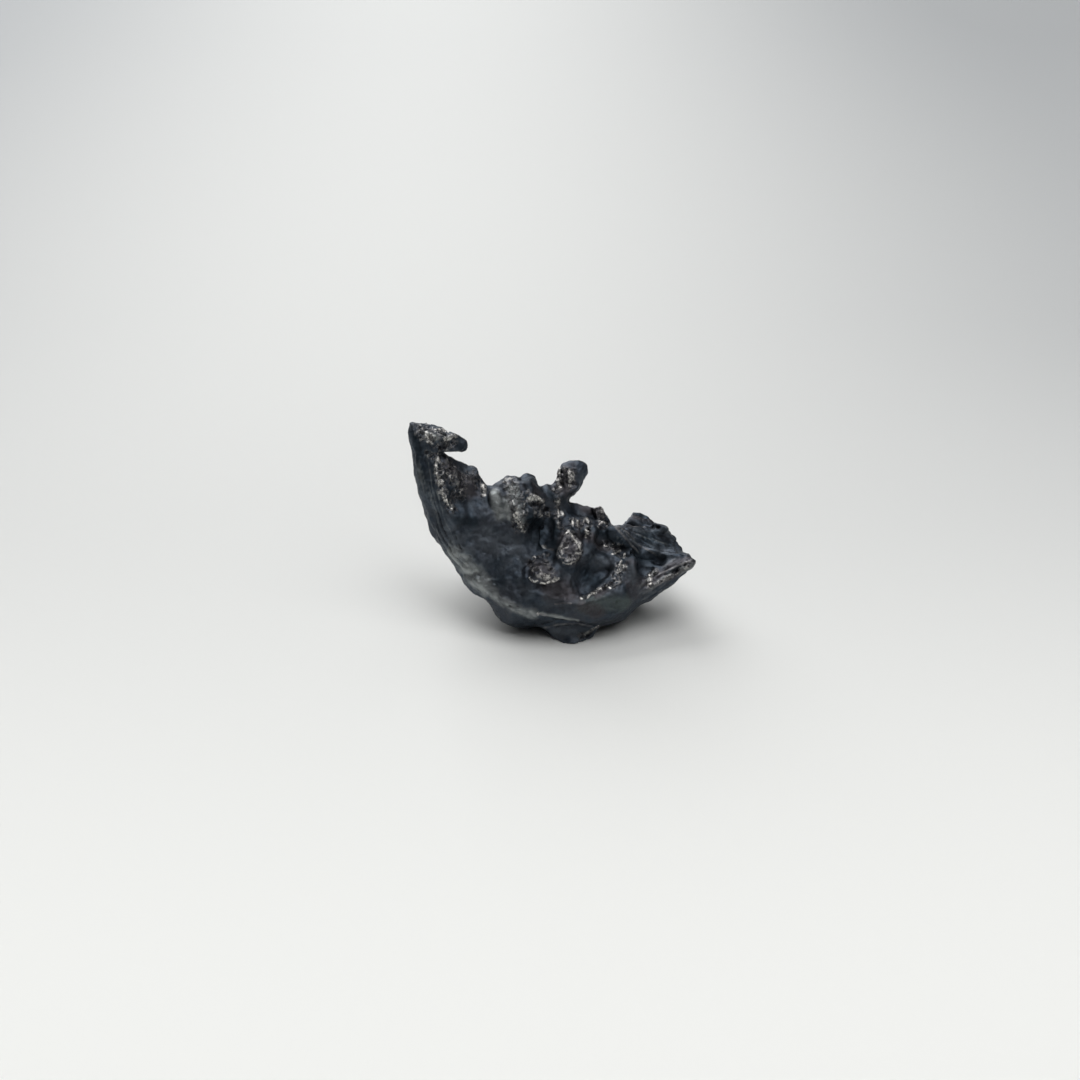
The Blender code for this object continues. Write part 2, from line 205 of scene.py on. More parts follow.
def add_softbox(name, bearing, height, watts):
    """A square softbox aimed at the piece. Bearing turns from the front towards the right."""
    data = bpy.data.lights.new(name, "AREA")
    data.size = SOFTBOX_SIDE
    data.energy = watts
    light = bpy.data.objects.new(name, data)
    turn, rise = math.radians(bearing), math.radians(height)
    level = math.cos(rise)
    way = Vector((math.sin(turn) * level, -math.cos(turn) * level, math.sin(rise)))
    light.location = way * SOFTBOX_DISTANCE
    look_at(light, SOFTBOX_AIM)
    bpy.context.scene.collection.objects.link(light)


def add_lights():
    for softbox in SOFTBOXES:
        add_softbox(*softbox)
    add_sky()
    bpy.context.scene.view_settings.view_transform = "Standard"


def add_sky():
    """Weak light from all round, a little stronger from above and from behind."""
    world = bpy.data.worlds.new("studio")
    world.use_nodes = True
    tree = world.node_tree
    way = tree.nodes.new("ShaderNodeTexCoord").outputs["Generated"]
    split = tree.nodes.new("ShaderNodeSeparateXYZ")
    tree.links.new(way, split.inputs[0])
    background = tree.nodes["Background"]
    background.inputs["Color"].default_value = SKY_TINT
    product = tree.nodes.new("ShaderNodeMath")
    product.operation = "MULTIPLY"
    for socket, axis, (span, levels) in zip(
        product.inputs, ("Z", "Y"), (SKY_BY_HEIGHT, SKY_BY_DEPTH)
    ):
        tree.links.new(sky_ramp(tree, split.outputs[axis], span, levels), socket)
    tree.links.new(product.outputs[0], background.inputs["Strength"])
    bpy.context.scene.world = world


def sky_ramp(tree, value, span, levels):
    """One strength at either end of a span of the value, blended between them."""
    node = tree.nodes.new("ShaderNodeMapRange")
    node.interpolation_type = "SMOOTHSTEP"
    tree.links.new(value, node.inputs["Value"])
    for socket, number in zip(RANGE_SOCKETS, (*span, *levels)):
        node.inputs[socket].default_value = number
    return node.outputs["Result"]


# ---------------------------------------------------------------- sculpting tools


def vertex_array(mesh, kind):
    values = np.empty(len(mesh.vertices) * 3)
    mesh.vertices.foreach_get(kind, values)
    return values.reshape(-1, 3)


def move_vertices(mesh, points):
    mesh.vertices.foreach_set("co", points.ravel())
    mesh.update()


CHAMFERED = 0.8  # size of a chunk's front and back faces, as a share of its middle


def add_chunk(mesh, outline, front, back):
    """Adds a convex chunk with chamfered edges to the mesh."""
    bm = bmesh.new()
    bm.from_mesh(mesh)
    middle = np.mean(outline, axis=0)
    made = []
    for out, size in ((front, CHAMFERED), ((front + back) / 2, 1.0), (back, CHAMFERED)):
        for mark in outline:
            a, b = middle + size * (np.array(mark) - middle)
            made.append(bm.verts.new(seen_place(a, b, out)))
    hull = bmesh.ops.convex_hull(bm, input=made)
    inner = {item for item in hull["geom_interior"] if isinstance(item, bmesh.types.BMVert)}
    bmesh.ops.delete(bm, geom=list(inner), context="VERTS")
    bm.to_mesh(mesh)
    bm.free()


def remeshed(mesh):
    """An even fine mesh of the same form, its facets softened and its chunks fused."""
    for chunk in CHUNKS:
        add_chunk(mesh, *chunk)
    source = bpy.data.objects.new("source", mesh)
    bpy.context.scene.collection.objects.link(source)
    remesh = source.modifiers.new("Refine", "REMESH")
    remesh.mode = "VOXEL"
    remesh.voxel_size = SKIN_VOXEL
    smooth = source.modifiers.new("Soften", "SMOOTH")
    smooth.factor = SKIN_SMOOTHING
    smooth.iterations = SKIN_ROUNDS
    graph = bpy.context.evaluated_depsgraph_get()
    skin = bpy.data.meshes.new_from_object(source.evaluated_get(graph))
    bpy.data.objects.remove(source)
    return skin


def smoothstep(values, low, high):
    share = np.clip((values - low) / (high - low), 0, 1)
    return share * share * (3 - 2 * share)


def distance_to(points, path):
    """Each point's distance to the nearest stretch of the path."""
    nearest = np.full(len(points), np.inf)
    for a, b in zip(path, path[1:] if len(path) > 1 else path):
        run = b - a
        along = np.clip((points - a) @ run / max(run @ run, 1e-9), 0, 1)
        gap = np.linalg.norm(points - a - along[:, None] * run, axis=1)
        nearest = np.minimum(nearest, gap)
    return nearest


def inside_outline(places, outline):
    """Each 2-D place's distance inside the closed outline, negative outside it."""
    corners = np.array(outline)
    nearest = np.full(len(places), np.inf)
    within = np.zeros(len(places), bool)
    for a, b in zip(corners, np.roll(corners, -1, axis=0)):
        run = b - a
        along = np.clip((places - a) @ run / (run @ run), 0, 1)
        nearest = np.minimum(nearest, np.linalg.norm(places - a - along[:, None] * run, axis=1))
        spans = (places[:, 1] < a[1]) != (places[:, 1] < b[1])
        if run[1]:
            within ^= spans & (places[:, 0] < a[0] + (places[:, 1] - a[1]) * run[0] / run[1])
    return np.where(within, nearest, -nearest)


def closely(marks):
    """The same path with its marks no further apart than MARK_GAP."""
    path = []
    for a, b in zip(marks, marks[1:]):
        steps = math.ceil(math.dist(a, b) / MARK_GAP)
        for i in range(steps):
            path.append((a[0] + (b[0] - a[0]) * i / steps, a[1] + (b[1] - a[1]) * i / steps))
    return path + [marks[-1]]


# How a stroke's height falls over its reach, from 0 at the marks to 1 at the edge.
PROFILES = {
    "scoop": lambda share: 1 - share**2,
    "soft": lambda share: (1 - share**2) ** 2,
    "crest": lambda share: (1 - share) ** 1.4,
}
MISSED = 9.0  # stands for the share of the reach where no mark meets the skin
WANDER_SIZE = 1.3  # mm, of the unevenness of strokes and patches
RAGGED = 0.45  # how far the edge of a patch wanders, as a share of its reach
PATCH_OUTER = 1.2  # the shares of its reach between which a patch fades in
PATCH_INNER = 0.6
MARK_GAP = 0.25  # mm
LEVEL_DEPTH = 1.5  # mm that a flat break may move a point, or reach behind its marks
FACES_AWAY = -0.2  # "out" part of the normal of what a flat break leaves alone
RUB = 0.6  # share of the way to its neighbours that each round rubs a point


class Skin:
    """The mesh being worked, with the arrays that the strokes share."""

    def __init__(self, mesh):
        self.mesh = mesh
        self.points = vertex_array(mesh, "co")
        self.normals = vertex_array(mesh, "normal")
        self.meet()
        edges = np.empty(len(mesh.edges) * 2, np.int64)
        mesh.edges.foreach_get("vertices", edges)
        self.ends = edges.reshape(-1, 2).T
        self.valence = np.bincount(edges, minlength=len(self.points))
        self.wander = self.noise(WANDER_SIZE, 3, 3.0)

    def meet(self):
        """Lets marks meet the skin as it stands."""
        self.tree = BVHTree.FromPolygons(
            [v.co for v in self.mesh.vertices], [p.vertices for p in self.mesh.polygons]
        )

    def settle(self):
        """Brings the normals up to date with the moved points."""
        move_vertices(self.mesh, self.points)
        self.normals = vertex_array(self.mesh, "normal")

    def neighbour_mean(self, values):
        """The mean over each point's neighbours of an array with one row per point."""
        a, b = self.ends
        size = len(self.points)
        columns = [
            (np.bincount(a, column[b], size) + np.bincount(b, column[a], size)) / self.valence
            for column in np.atleast_2d(values.T)
        ]
        return np.array(columns).T if values.ndim > 1 else columns[0]

    def noise(self, size, octaves, offset):
        """Fractal noise of that size in mm at each point, about -1 to 1."""
        shift = Vector((offset, offset, offset))
        return np.array(
            [noise.fractal(Vector(p) / size + shift, 1.0, 2.0, octaves) for p in self.points]
        )

    def seen_places(self):
        """Where each point looks to be."""
        shrink = (SEEN_FROM[2] - self.points[:, 2]) / SEEN_FROM[2]
        return (self.points[:, :2] - SEEN_FROM[:2]) / shrink[:, None] + SEEN_FROM[:2]

    def touch(self, marks, ray=seen_ray):
        """The places where the marks meet the skin, leaving out any that miss it."""
        found = []
        for mark in marks:
            start, way = ray(*mark)
            place, _, _, _ = self.tree.ray_cast(Vector(start), Vector(way).normalized())
            if place is not None:
                found.append(place)
        return np.array(found)

    def share(self, marks, reach, ray=seen_ray):
        """Distance from the path of marks as a share of the reach."""
        path = self.touch(marks, ray)
        if not len(path):
            return np.full(len(self.points), MISSED)
        return distance_to(self.points, path) / reach

    def stroke(self, marks, reach, rise, profile, waver=0.0):
        """A ridge, or a hollow where the rise is negative. Waver makes its edge uneven."""
        share = np.clip(self.share(marks, reach) + waver * self.wander, 0, 1)
        self.points += (rise * PROFILES[profile](share))[:, None] * self.normals

    def push(self, marks, reach, step):
        """Draws the skin round the marks along a step, fading out at the reach."""
        share = np.clip(self.share(marks, reach), 0, 1)
        self.points += PROFILES["soft"](share)[:, None] * np.array(step)

    def bend(self, marks, reach, step):
        """Draws all that looks to be round the marks along a step, fading out at the reach."""
        share = np.clip(distance_to(self.seen_places(), np.array(marks)) / reach, 0, 1)
        self.points += PROFILES["soft"](share)[:, None] * np.array(step)

    def soften(self, marks, reach, rounds):
        """Rubs down the relief round the marks."""
        weight = RUB * PROFILES["soft"](np.clip(self.share(marks, reach), 0, 1))[:, None]
        for _ in range(rounds):
            self.points += weight * (self.neighbour_mean(self.points) - self.points)

    def panel(self, outline, edge):
        """A mask over the part of the seen face inside the outline, and where its marks meet it."""
        met = self.touch(outline)
        near = (self.points[:, 2] > met[:, 2].min() - LEVEL_DEPTH) & (
            self.normals[:, 2] > FACES_AWAY
        )
        return near * smoothstep(inside_outline(self.seen_places(), outline), -edge, edge), met

    def plateau(self, outline, rise, edge):
        """Raises the part of the seen face inside the outline, with an edge that wide."""
        mask, _ = self.panel(outline, edge)
        self.points += (rise * mask)[:, None] * self.normals

    def facet(self, outline, edge, share, sink):
        """Flattens the part of the seen face inside the outline towards one plane."""
        mask, met = self.panel(outline, edge)
        flat = np.c_[met[:, :2], np.ones(len(met))]
        tilt = np.linalg.lstsq(flat, met[:, 2], rcond=None)[0]
        rise = self.points[:, :2] @ tilt[:2] + tilt[2] - sink - self.points[:, 2]
        self.points[:, 2] += share * mask * np.clip(rise, -LEVEL_DEPTH, LEVEL_DEPTH)

    def zone(self, marked, ragged=RAGGED, inner=PATCH_INNER, ray=seen_ray):
        """A mask of ragged-edged patches round the marks: 1 inside, 0 outside."""
        mask = np.zeros(len(self.points))
        for marks, reach in marked:
            share = self.share(marks, reach, ray) + ragged * self.wander
            mask = np.maximum(mask, smoothstep(share, PATCH_OUTER, inner))
        return mask


# ---------------------------------------------------------------- where its details lie

# Chunks that fill out the form: outline, and how far out the front and the back lie.
CHUNKS = [
    (
        [(-18.4, 33.0), (-16.0, 33.8), (-14.4, 33.1), (-13.6, 32.4), (-13.7, 31.7), (-14.4, 31.35),
         (-15.2, 31.4), (-16.1, 31.7), (-17.1, 31.5), (-18.2, 31.2)],
        2.5, 0.5,
    ),  # under the beak
    # tip of the beak
    ([(-22.85, 36.1), (-21.4, 36.0), (-20.0, 35.3), (-20.4, 33.8), (-22.7, 33.6)], 2.0, 0.6),
    (
        [(1.4, 28.6), (1.9, 29.3), (2.5, 29.5), (5.1, 29.3), (5.5, 28.9), (5.5, 28.1), (5.4, 27.0),
         (5.0, 25.9), (4.4, 24.9), (3.5, 24.0), (2.8, 24.2), (1.6, 26.0)],
        -2.1, -5.4,
    ),  # nub
    (
        [(6.4, 22.3), (7.7, 22.2), (8.3, 22.1), (9.0, 21.0), (9.9, 19.6), (9.0, 18.9), (7.4, 20.2)],
        -3.5, -5.6,
    ),  # rim right of the nub
    (
        [(-8.1, 26.5), (-7.5, 27.1), (-6.1, 27.45), (-4.9, 27.5), (-4.9, 26.0), (-6.4, 25.4),
         (-7.8, 25.6)],
        0.5, -2.4,
    ),  # top of the lobe
    # scarp
    ([(8.6, 19.2), (9.9, 19.7), (11.2, 18.3), (13.3, 15.9), (10.8, 15.8), (9.0, 17.4)], -2.2, -5.0),
    (
        [(16.4, 20.0), (17.6, 19.6), (18.7, 19.3), (19.2, 18.6), (18.0, 17.6), (16.2, 18.4)],
        -9.0, -12.4,
    ),  # back of the wing
    (
        [(21.8, 14.4), (22.3, 14.3), (23.1, 14.0), (23.3, 13.4), (22.8, 12.9), (21.6, 12.6),
         (21.0, 13.4)],
        -2.4, -5.0,
    ),  # far tip
]

# Patches of the skin: a path of marks, and the reach round it in mm.
TORN = [
    ([(-20.5, 34.9), (-18.6, 34.1), (-16.8, 33.7)], 1.6),  # beak
    ([(-18.9, 32.8), (-17.4, 32.4), (-16.2, 32.6)], 1.1),
    ([(-20.1, 31.1), (-19.2, 30.6), (-18.2, 30.4)], 0.6),
    (
        [(-18.4, 30.3), (-18.0, 29.1), (-17.9, 26.9), (-17.5, 25.3), (-16.9, 23.2), (-15.8, 22.0)],
        0.9,
    ),
    ([(-16.0, 29.6), (-13.9, 28.5), (-12.4, 27.8), (-11.5, 26.2)], 1.2),  # frayed inner edge
    ([(-16.4, 27.4), (-14.6, 26.0), (-15.2, 24.2)], 1.3),
    ([(-11.0, 25.7), (-10.8, 24.3)], 0.7),
    ([(-6.6, 26.6), (-6.0, 24.0), (-6.2, 21.6), (-4.8, 19.2)], 1.2),  # folds of the lobe
    ([(-3.6, 24.4), (-2.9, 23.8), (-1.3, 22.9)], 0.9),
    ([(-4.7, 24.4), (-4.3, 22.6), (-4.6, 21.0)], 0.7),
    ([(-2.9, 23.4), (-2.2, 21.5), (-0.8, 21.4)], 0.9),
    ([(0.9, 24.8), (1.6, 26.8), (2.4, 28.6), (3.2, 28.4), (3.0, 25.9)], 0.9),  # nub
    ([(1.1, 23.2), (1.1, 21.4), (1.6, 19.2)], 0.8),  # its stem
    ([(3.4, 20.4), (4.3, 19.2), (5.8, 20.4), (5.9, 18.2)], 0.75),  # crumbs in the middle
    ([(2.9, 18.4), (4.3, 16.3), (4.4, 14.7), (3.1, 13.9), (1.5, 14.4), (2.4, 16.6)], 0.8),  # scale
    ([(-3.2, 13.4), (-2.4, 12.2), (-1.4, 11.2), (0.4, 10.9)], 0.7),
    ([(-1.0, 13.6), (0.0, 12.2)], 0.6),
    ([(-0.4, 14.6), (-2.6, 14.2)], 0.5),
    ([(5.4, 7.8), (6.6, 8.5), (7.9, 9.2), (9.2, 9.9), (11.0, 10.6)], 0.4),  # lip of the bowl
    ([(8.7, 16.1), (10.5, 15.8), (11.5, 14.3), (11.0, 12.0), (10.4, 11.0)], 1.0),
    ([(10.8, 10.4), (9.8, 9.6)], 0.6),
    ([(7.6, 21.9), (8.2, 21.3), (7.9, 19.5), (8.9, 19.8)], 0.8),
    ([(16.6, 12.1), (15.9, 11.4), (15.9, 10.2)], 0.8),  # wedge
    ([(17.2, 10.2), (19.4, 11.4), (22.1, 13.2)], 0.45),
    ([(4.7, 1.4), (6.3, 2.1), (7.6, 3.1)], 0.6),  # edge of the foot
]
# The same, on the top of the torn rim: (along, out).
TORN_ABOVE = [([(4.5, -5.5), (7.4, -5.5), (9.0, -6.0)], 1.2)]

# Bright metal, with painted glints on it.
BRIGHT_AND_GLINTS = [
    ([(-20.0, 34.2), (-19.6, 33.0)], 0.5),
    ([(-18.6, 34.9), (-17.6, 34.5), (-16.9, 34.6)], 0.35),
    ([(-16.9, 33.4), (-16.8, 32.6)], 0.4),
    ([(-18.0, 30.0)], 0.4),
    ([(-18.3, 29.3), (-18.5, 28.2)], 0.4),
    ([(-17.9, 26.9), (-17.6, 25.3), (-17.0, 23.6)], 0.4),
    ([(-16.1, 23.5), (-15.8, 22.0)], 0.4),
    ([(-10.9, 25.6), (-10.7, 24.5)], 0.7),
    ([(-5.6, 21.2), (-4.9, 19.4), (-4.4, 18.6)], 0.5),
    ([(-3.5, 23.6), (-2.7, 24.0), (-1.4, 23.2)], 0.5),
    ([(1.4, 28.5), (1.4, 26.9), (1.4, 25.4)], 0.45),
    ([(3.1, 28.4), (3.3, 27.0), (3.0, 25.9)], 0.35),
    ([(1.1, 23.2), (1.2, 21.4), (1.9, 21.3)], 0.4),
    ([(5.8, 20.4), (5.9, 18.2)], 0.3),
    ([(-1.2, 11.4), (-0.2, 11.0)], 0.3),
    ([(-0.5, 15.9)], 0.4),
    ([(11.2, 12.8), (10.9, 12.0)], 0.35),
    ([(15.9, 11.4), (15.9, 10.6)], 0.35),
    ([(6.3, 2.1), (7.6, 3.1)], 0.4),
    ([(-2.0, 5.2)], 0.3),
]

# Thin edges with painted glints, and below them fainter lines of painted highlight: paths of marks.
THIN_GLINT_EDGES = [
    [(2.13, 17.9), (2.82, 18.6), (3.4, 17.8), (4.2, 16.6), (4.75, 15.6)],  # scale
    [(4.0, 15.0), (4.7, 15.0)],
    [(1.9, 13.4), (3.0, 13.2), (3.9, 13.6)],
    [(-3.5, 10.9), (-2.7, 10.35), (-2.2, 10.5)],  # cluster
    [(-1.7, 10.2), (-0.9, 10.05), (0.1, 10.5), (0.5, 10.4), (1.3, 10.95)],
    [(-0.9, 11.3), (-0.3, 10.8)],
    [(5.9, 7.8), (6.4, 8.4), (7.0, 8.5)],  # lip of the bowl
    [(7.7, 9.1), (8.05, 9.3)],
    [(4.7, 7.8), (5.0, 7.6)],
    [(8.9, 9.7), (9.6, 9.3)],
    [(9.8, 14.8), (10.5, 15.0), (11.2, 15.4)],
    [(11.9, 14.9), (11.8, 14.2)],
    [(11.4, 13.8), (10.9, 12.9)],
    [(10.7, 12.2), (11.1, 12.2)],
    [(3.5, 20.6), (3.5, 19.4)],  # crumbs in the middle
    [(4.25, 20.2), (4.4, 19.2)],
    [(5.7, 20.8), (6.0, 19.7)],
    [(5.8, 18.9), (5.6, 17.5)],
    [(1.1, 21.9), (1.2, 20.8)],
    [(8.6, 16.2), (9.2, 16.0)],
    [(7.7, 19.6), (8.1, 20.0), (8.8, 19.9)],
    [(-3.6, 23.6), (-3.4, 24.1), (-2.4, 24.2), (-1.5, 23.3)],  # ridge of the lobe
    [(-5.4, 19.9), (-4.5, 18.8)],
    [(-10.9, 25.4), (-10.6, 24.3)],
    [(-18.3, 30.0), (-17.9, 29.6)],  # horn
    [(-18.5, 28.2), (-18.2, 27.0), (-18.0, 25.8)],
    [(-17.0, 24.2), (-16.4, 22.6)],
    [(-18.0, 35.0), (-17.2, 35.0), (-16.5, 34.5)],  # beak
    [(-20.2, 34.4), (-19.8, 33.4)],
    [(-16.6, 33.2), (-15.9, 33.6)],
    [(1.4, 28.6), (1.5, 26.9)],  # nub
    [(2.9, 28.5), (3.3, 27.4)],
    [(15.8, 11.5), (16.2, 11.0)],  # wedge
    [(15.6, 9.9), (16.3, 10.2)],
    [(7.0, 2.8), (7.6, 3.2)],
]
FAINT_HIGHLIGHT_LINES = [
    [(10.4, 19.2), (11.6, 17.8), (12.9, 16.3), (13.9, 15.4)],  # crest of the wing
    [(10.8, 19.3), (12.2, 18.4), (13.4, 17.2)],
    [(11.4, 19.3), (13.0, 19.3), (15.2, 19.2)],
    [(14.2, 16.2), (16.0, 15.3), (17.0, 14.6)],
    [(17.4, 11.6), (19.6, 12.6), (22.4, 13.8)],  # layers of the wedge
    [(17.0, 9.7), (19.0, 10.9), (21.4, 12.4)],
    [(0.65, 6.75), (2.0, 6.9), (3.2, 6.85)],
    [(-1.4, 15.9), (0.4, 15.5)],
    [(-1.2, 2.9), (1.3, 3.5), (4.0, 3.6), (6.6, 3.2)],  # foot
    [(-2.0, 5.2), (-0.4, 4.9)],
]

# Tints, painted sheen, painted light and painted shade, each as patches of the skin.
# Painted light: steel-blue patches made lighter where light falls or reflects, on the edge of the
# wing, the face, the top of the bowl, the pillar and the foot.
STEEL_LIGHT = [
    # edge of the wing
    ([(10.8, 19.0), (12.2, 17.1), (14.4, 16.1), (16.4, 15.4), (18.6, 14.7)], 0.5),
    ([(11.2, 19.2), (14.0, 19.1), (17.2, 18.9)], 0.4),
    ([(-12.0, 17.6), (-8.0, 17.0), (-6.0, 14.8)], 2.2),  # lit patches of the face
    ([(13.2, 8.9), (15.2, 9.0), (16.6, 9.0)], 0.8),
    ([(-14.9, 19.6), (-16.0, 16.6), (-13.8, 15.4)], 2.4),
    ([(9.0, 13.6), (7.0, 13.8)], 1.2),  # top of the bowl
    ([(12.9, 12.9), (12.9, 10.4)], 0.9),  # smooth pillar
    ([(0.4, 2.6), (3.4, 2.2)], 1.6),  # foot
]
# Painted sheen and highlight: pale grey where the floor and lamps reflect, on the beak, the left of
# the lobe and the lower left band, and along the line over the foot.
PALE_SHEEN = [
    ([(-20.2, 34.2), (-18.6, 33.6)], 0.8),  # beak
    ([(-9.2, 24.4), (-8.6, 22.6), (-8.2, 21.2)], 1.4),  # left of the lobe
    ([(-7.2, 23.4), (-6.8, 21.2)], 1.1),
    ([(-6.2, 25.4), (-5.2, 22.6), (-4.8, 20.4)], 1.2),
    ([(-15.4, 14.4), (-13.0, 11.6), (-10.6, 9.3)], 2.2),  # lower left band
    ([(-9.4, 8.0), (-6.6, 6.2), (-3.0, 5.0)], 1.2),
    ([(-1.4, 5.2), (1.4, 4.7), (4.2, 4.1)], 0.42),  # light line over the foot
]
# A greenish tint, with a painted reflection of the floor on the lower right, which faces down
# towards it.
GREENISH_SHEEN = [
    ([(5.6, 6.6), (9.2, 6.9), (11.8, 6.6)], 2.0),  # lower right
]
BROWNED = [
    ([(-15.6, 29.0), (-13.7, 27.2), (-13.0, 25.4)], 2.4),  # inner side of the horn
    ([(12.9, 13.4), (12.9, 11.1), (12.9, 9.8)], 1.2),  # smooth pillar
    ([(13.2, 20.6), (16.2, 19.9)], 1.0),
    ([(-3.7, 26.2), (-2.5, 25.2)], 1.8),
    ([(3.0, 28.0), (2.0, 25.5)], 2.4),
    ([(2.0, 17.4), (3.4, 14.4), (4.4, 19.4)], 1.8),
    ([(-2.0, 13.0), (0.4, 9.4), (3.2, 8.4)], 2.6),
    ([(6.3, 17.5), (8.6, 15.8)], 1.6),
    ([(8.0, 21.6), (5.3, 22.2)], 1.4),
    ([(13.7, 9.0), (17.6, 11.5), (22.1, 13.6)], 2.0),
    ([(5.0, 6.6), (7.6, 5.4)], 1.6),
    ([(7.6, 8.3), (8.6, 8.9)], 1.1),
]
# Painted shade: dark blue in hollows, recesses and sides turned from the light, such as right of
# the lobe, in the bowl, under the nub and the wing, and on the side of the horn.
DEEP_SHADE = [
    ([(-3.2, 20.6), (-1.6, 19.2), (-1.8, 16.6)], 1.9),
    ([(6.0, 11.4), (7.2, 10.4)], 1.8),
    ([(13.8, 14.8), (15.6, 14.2), (17.4, 13.9)], 1.6),
    ([(7.6, 18.4), (9.0, 18.0), (11.0, 16.6)], 1.1),
    ([(15.6, 17.2), (17.4, 16.4), (18.8, 16.4)], 2.4),
    ([(-3.9, 26.6), (-3.4, 25.6)], 1.2),
    ([(-14.3, 23.5)], 1.2),
    ([(19.0, 11.8), (21.0, 12.7)], 0.9),
    ([(-8.2, 10.6)], 1.6),
    ([(3.6, 20.0), (5.2, 18.6)], 1.1),
    ([(-17.4, 34.1)], 0.4),
    ([(-21.6, 34.4), (-21.6, 31.6), (-20.6, 27.0)], 0.9),  # side of the horn
    ([(-14.6, 20.6), (-12.6, 19.8)], 1.4),
    ([(0.0, 24.4), (2.0, 23.4)], 0.9),
    ([(-14.9, 32.8), (-14.3, 32.0)], 1.0),
    ([(0.3, 20.6), (0.9, 18.6), (0.4, 16.6)], 0.9),
    ([(4.6, 21.0), (4.8, 18.4)], 0.5),
]

# Corrections of the form: marks, reach, and the step in mm.
PUSHES = [
    ([(-22.8, 36.0)], 0.9, (-0.2, 0.6, 0)),  # tip of the beak
    ([(-17.5, 35.0), (-15.5, 33.8)], 1.2, (0, 0.2, 0)),
    ([(-15.3, 29.8), (-13.0, 28.9)], 1.6, (-0.6, -1.35, 0)),
    ([(12.2, 21.1)], 1.2, (0.5, -0.7, 0)),
    ([(15.1, 20.9)], 1.2, (0, -0.4, 0)),
    ([(20.6, 16.4), (21.2, 15.2)], 1.2, (-0.75, -0.55, 0)),
    ([(3.6, 28.9), (4.8, 28.8)], 1.5, (0, -0.4, 0)),
    ([(5.2, 28.4), (5.1, 27.0)], 1.5, (-0.5, 0, 0)),
    ([(1.2, 26.8), (1.5, 28.4)], 0.9, (-0.3, 0.0, 0)),
    ([(3.3, 23.6)], 1.0, (-0.7, -0.1, 0)),
    ([(-18.8, 18.2)], 1.4, (0.3, 0.1, 0)),
    ([(6.0, 22.1), (7.6, 21.7)], 0.9, (0, 0.2, 0)),
]

# Bends of the outline, front and back alike: marks, reach, and the step in mm.
BENDS = [
    ([(-15.3, 29.9), (-13.8, 29.0)], 0.9, (-0.1, -0.4, 0)),  # inner edge of the horn
    ([(-9.2, 26.0), (-8.4, 26.6)], 0.9, (0, -0.25, 0)),  # steps in the top of the lobe
    ([(-7.2, 27.2)], 0.9, (0, 0.25, 0)),
    ([(-5.2, 27.4)], 0.7, (0, -0.25, 0)),
    ([(-3.9, 27.4), (-2.8, 26.9)], 1.0, (0.1, 0.5, 0)),
    ([(-1.9, 26.2)], 0.7, (-0.1, -0.25, 0)),
    ([(-0.7, 25.8)], 0.9, (0, 0.35, 0)),
    ([(12.1, 21.5)], 1.2, (0.4, -0.9, 0)),  # left of the knob
    ([(11.3, 20.1), (11.8, 20.5)], 0.8, (0.2, -0.5, 0)),
    ([(10.3, 20.1)], 1.0, (-0.35, -0.4, 0)),
    ([(14.9, 20.9)], 0.8, (0, -0.35, 0)),
    ([(20.8, 16.7)], 1.1, (-0.45, 0, 0)),
    ([(3.3, 23.6)], 0.9, (-0.35, -0.25, 0)),
    ([(4.6, 23.0), (5.4, 22.6)], 1.0, (0, 0.25, 0)),
    ([(7.9, 22.2)], 0.7, (0.1, 0.3, 0)),
    ([(2.2, 29.3)], 0.9, (-0.2, -0.1, 0)),  # top of the nub
    ([(5.3, 28.8)], 0.8, (0.2, 0.25, 0)),
]

# Places rubbed smooth: marks, reach, rounds.
SOFTENED = [
    ([(-13.4, 27.0), (-12.6, 24.5), (-12.0, 22.0)], 2.2, 30),
    ([(-10.2, 23.2), (-9.4, 20.8), (-7.4, 19.4), (-5.6, 18.8)], 2.4, 120),
    ([(-3.8, 18.6), (-3.5, 16.2), (-2.4, 14.6), (-0.6, 14.3)], 1.6, 90),
    ([(-9.0, 24.6), (-8.0, 22.6)], 1.8, 40),
    ([(4.8, 13.2), (5.0, 11.2), (4.6, 9.4)], 1.8, 60),
    ([(7.0, 13.6), (9.2, 14.2)], 2.0, 60),
    ([(16.2, 17.9), (18.8, 17.8)], 1.3, 60),
    ([(10.4, 18.2), (12.2, 16.9)], 1.2, 60),
]

# Flat breaks: outline, edge in mm, share of the way to the plane, and how far that is sunk in mm.
FACETS = [
    (
        [(-1.3, 2.9), (1.3, 3.5), (4.1, 3.6), (7.6, 3.1), (5.6, 1.6), (2.4, 0.6), (0.5, 1.3)],
        0.3, 0.7, -0.2,
    ),
    (
        [(-9.4, 24.8), (-8.2, 26.2), (-6.0, 26.9), (-3.2, 26.4), (-3.0, 22.0), (-5.0, 20.2),
         (-8.4, 20.8)],
        0.9, 0.7, -0.8,
    ),
    # right side of the nub
    ([(3.4, 28.6), (5.1, 28.6), (5.0, 27.2), (4.2, 25.4), (3.4, 26.0)], 0.3, 0.7, 0.2),
]

# Raised scales with a sharp edge: outline, rise in mm.
SCALES = [
    (
        [(3.0, 18.8), (3.9, 17.9), (4.7, 16.7), (4.9, 15.4), (4.7, 14.4), (3.9, 13.5), (3.0, 13.4),
         (1.8, 13.2), (0.9, 14.4), (1.3, 16.0), (2.1, 17.7)],
        0.6,
    ),
    (
        [(-1.6, 12.1), (-0.2, 11.9), (1.4, 11.0), (0.2, 10.4), (-1.1, 10.1), (-2.8, 10.4),
         (-3.2, 10.9)],
        0.3,
    ),
]

# Where the torn metal is finer.
CALM = [
    ([(2.9, 17.6), (3.0, 14.4)], 2.6),
    ([(-2.4, 11.4), (0.4, 11.0)], 2.2),
    ([(-6.6, 24.5), (-4.6, 24.5)], 3.0),
    ([(-15.0, 28.6), (-13.4, 26.6), (-14.4, 24.2)], 2.6),
]

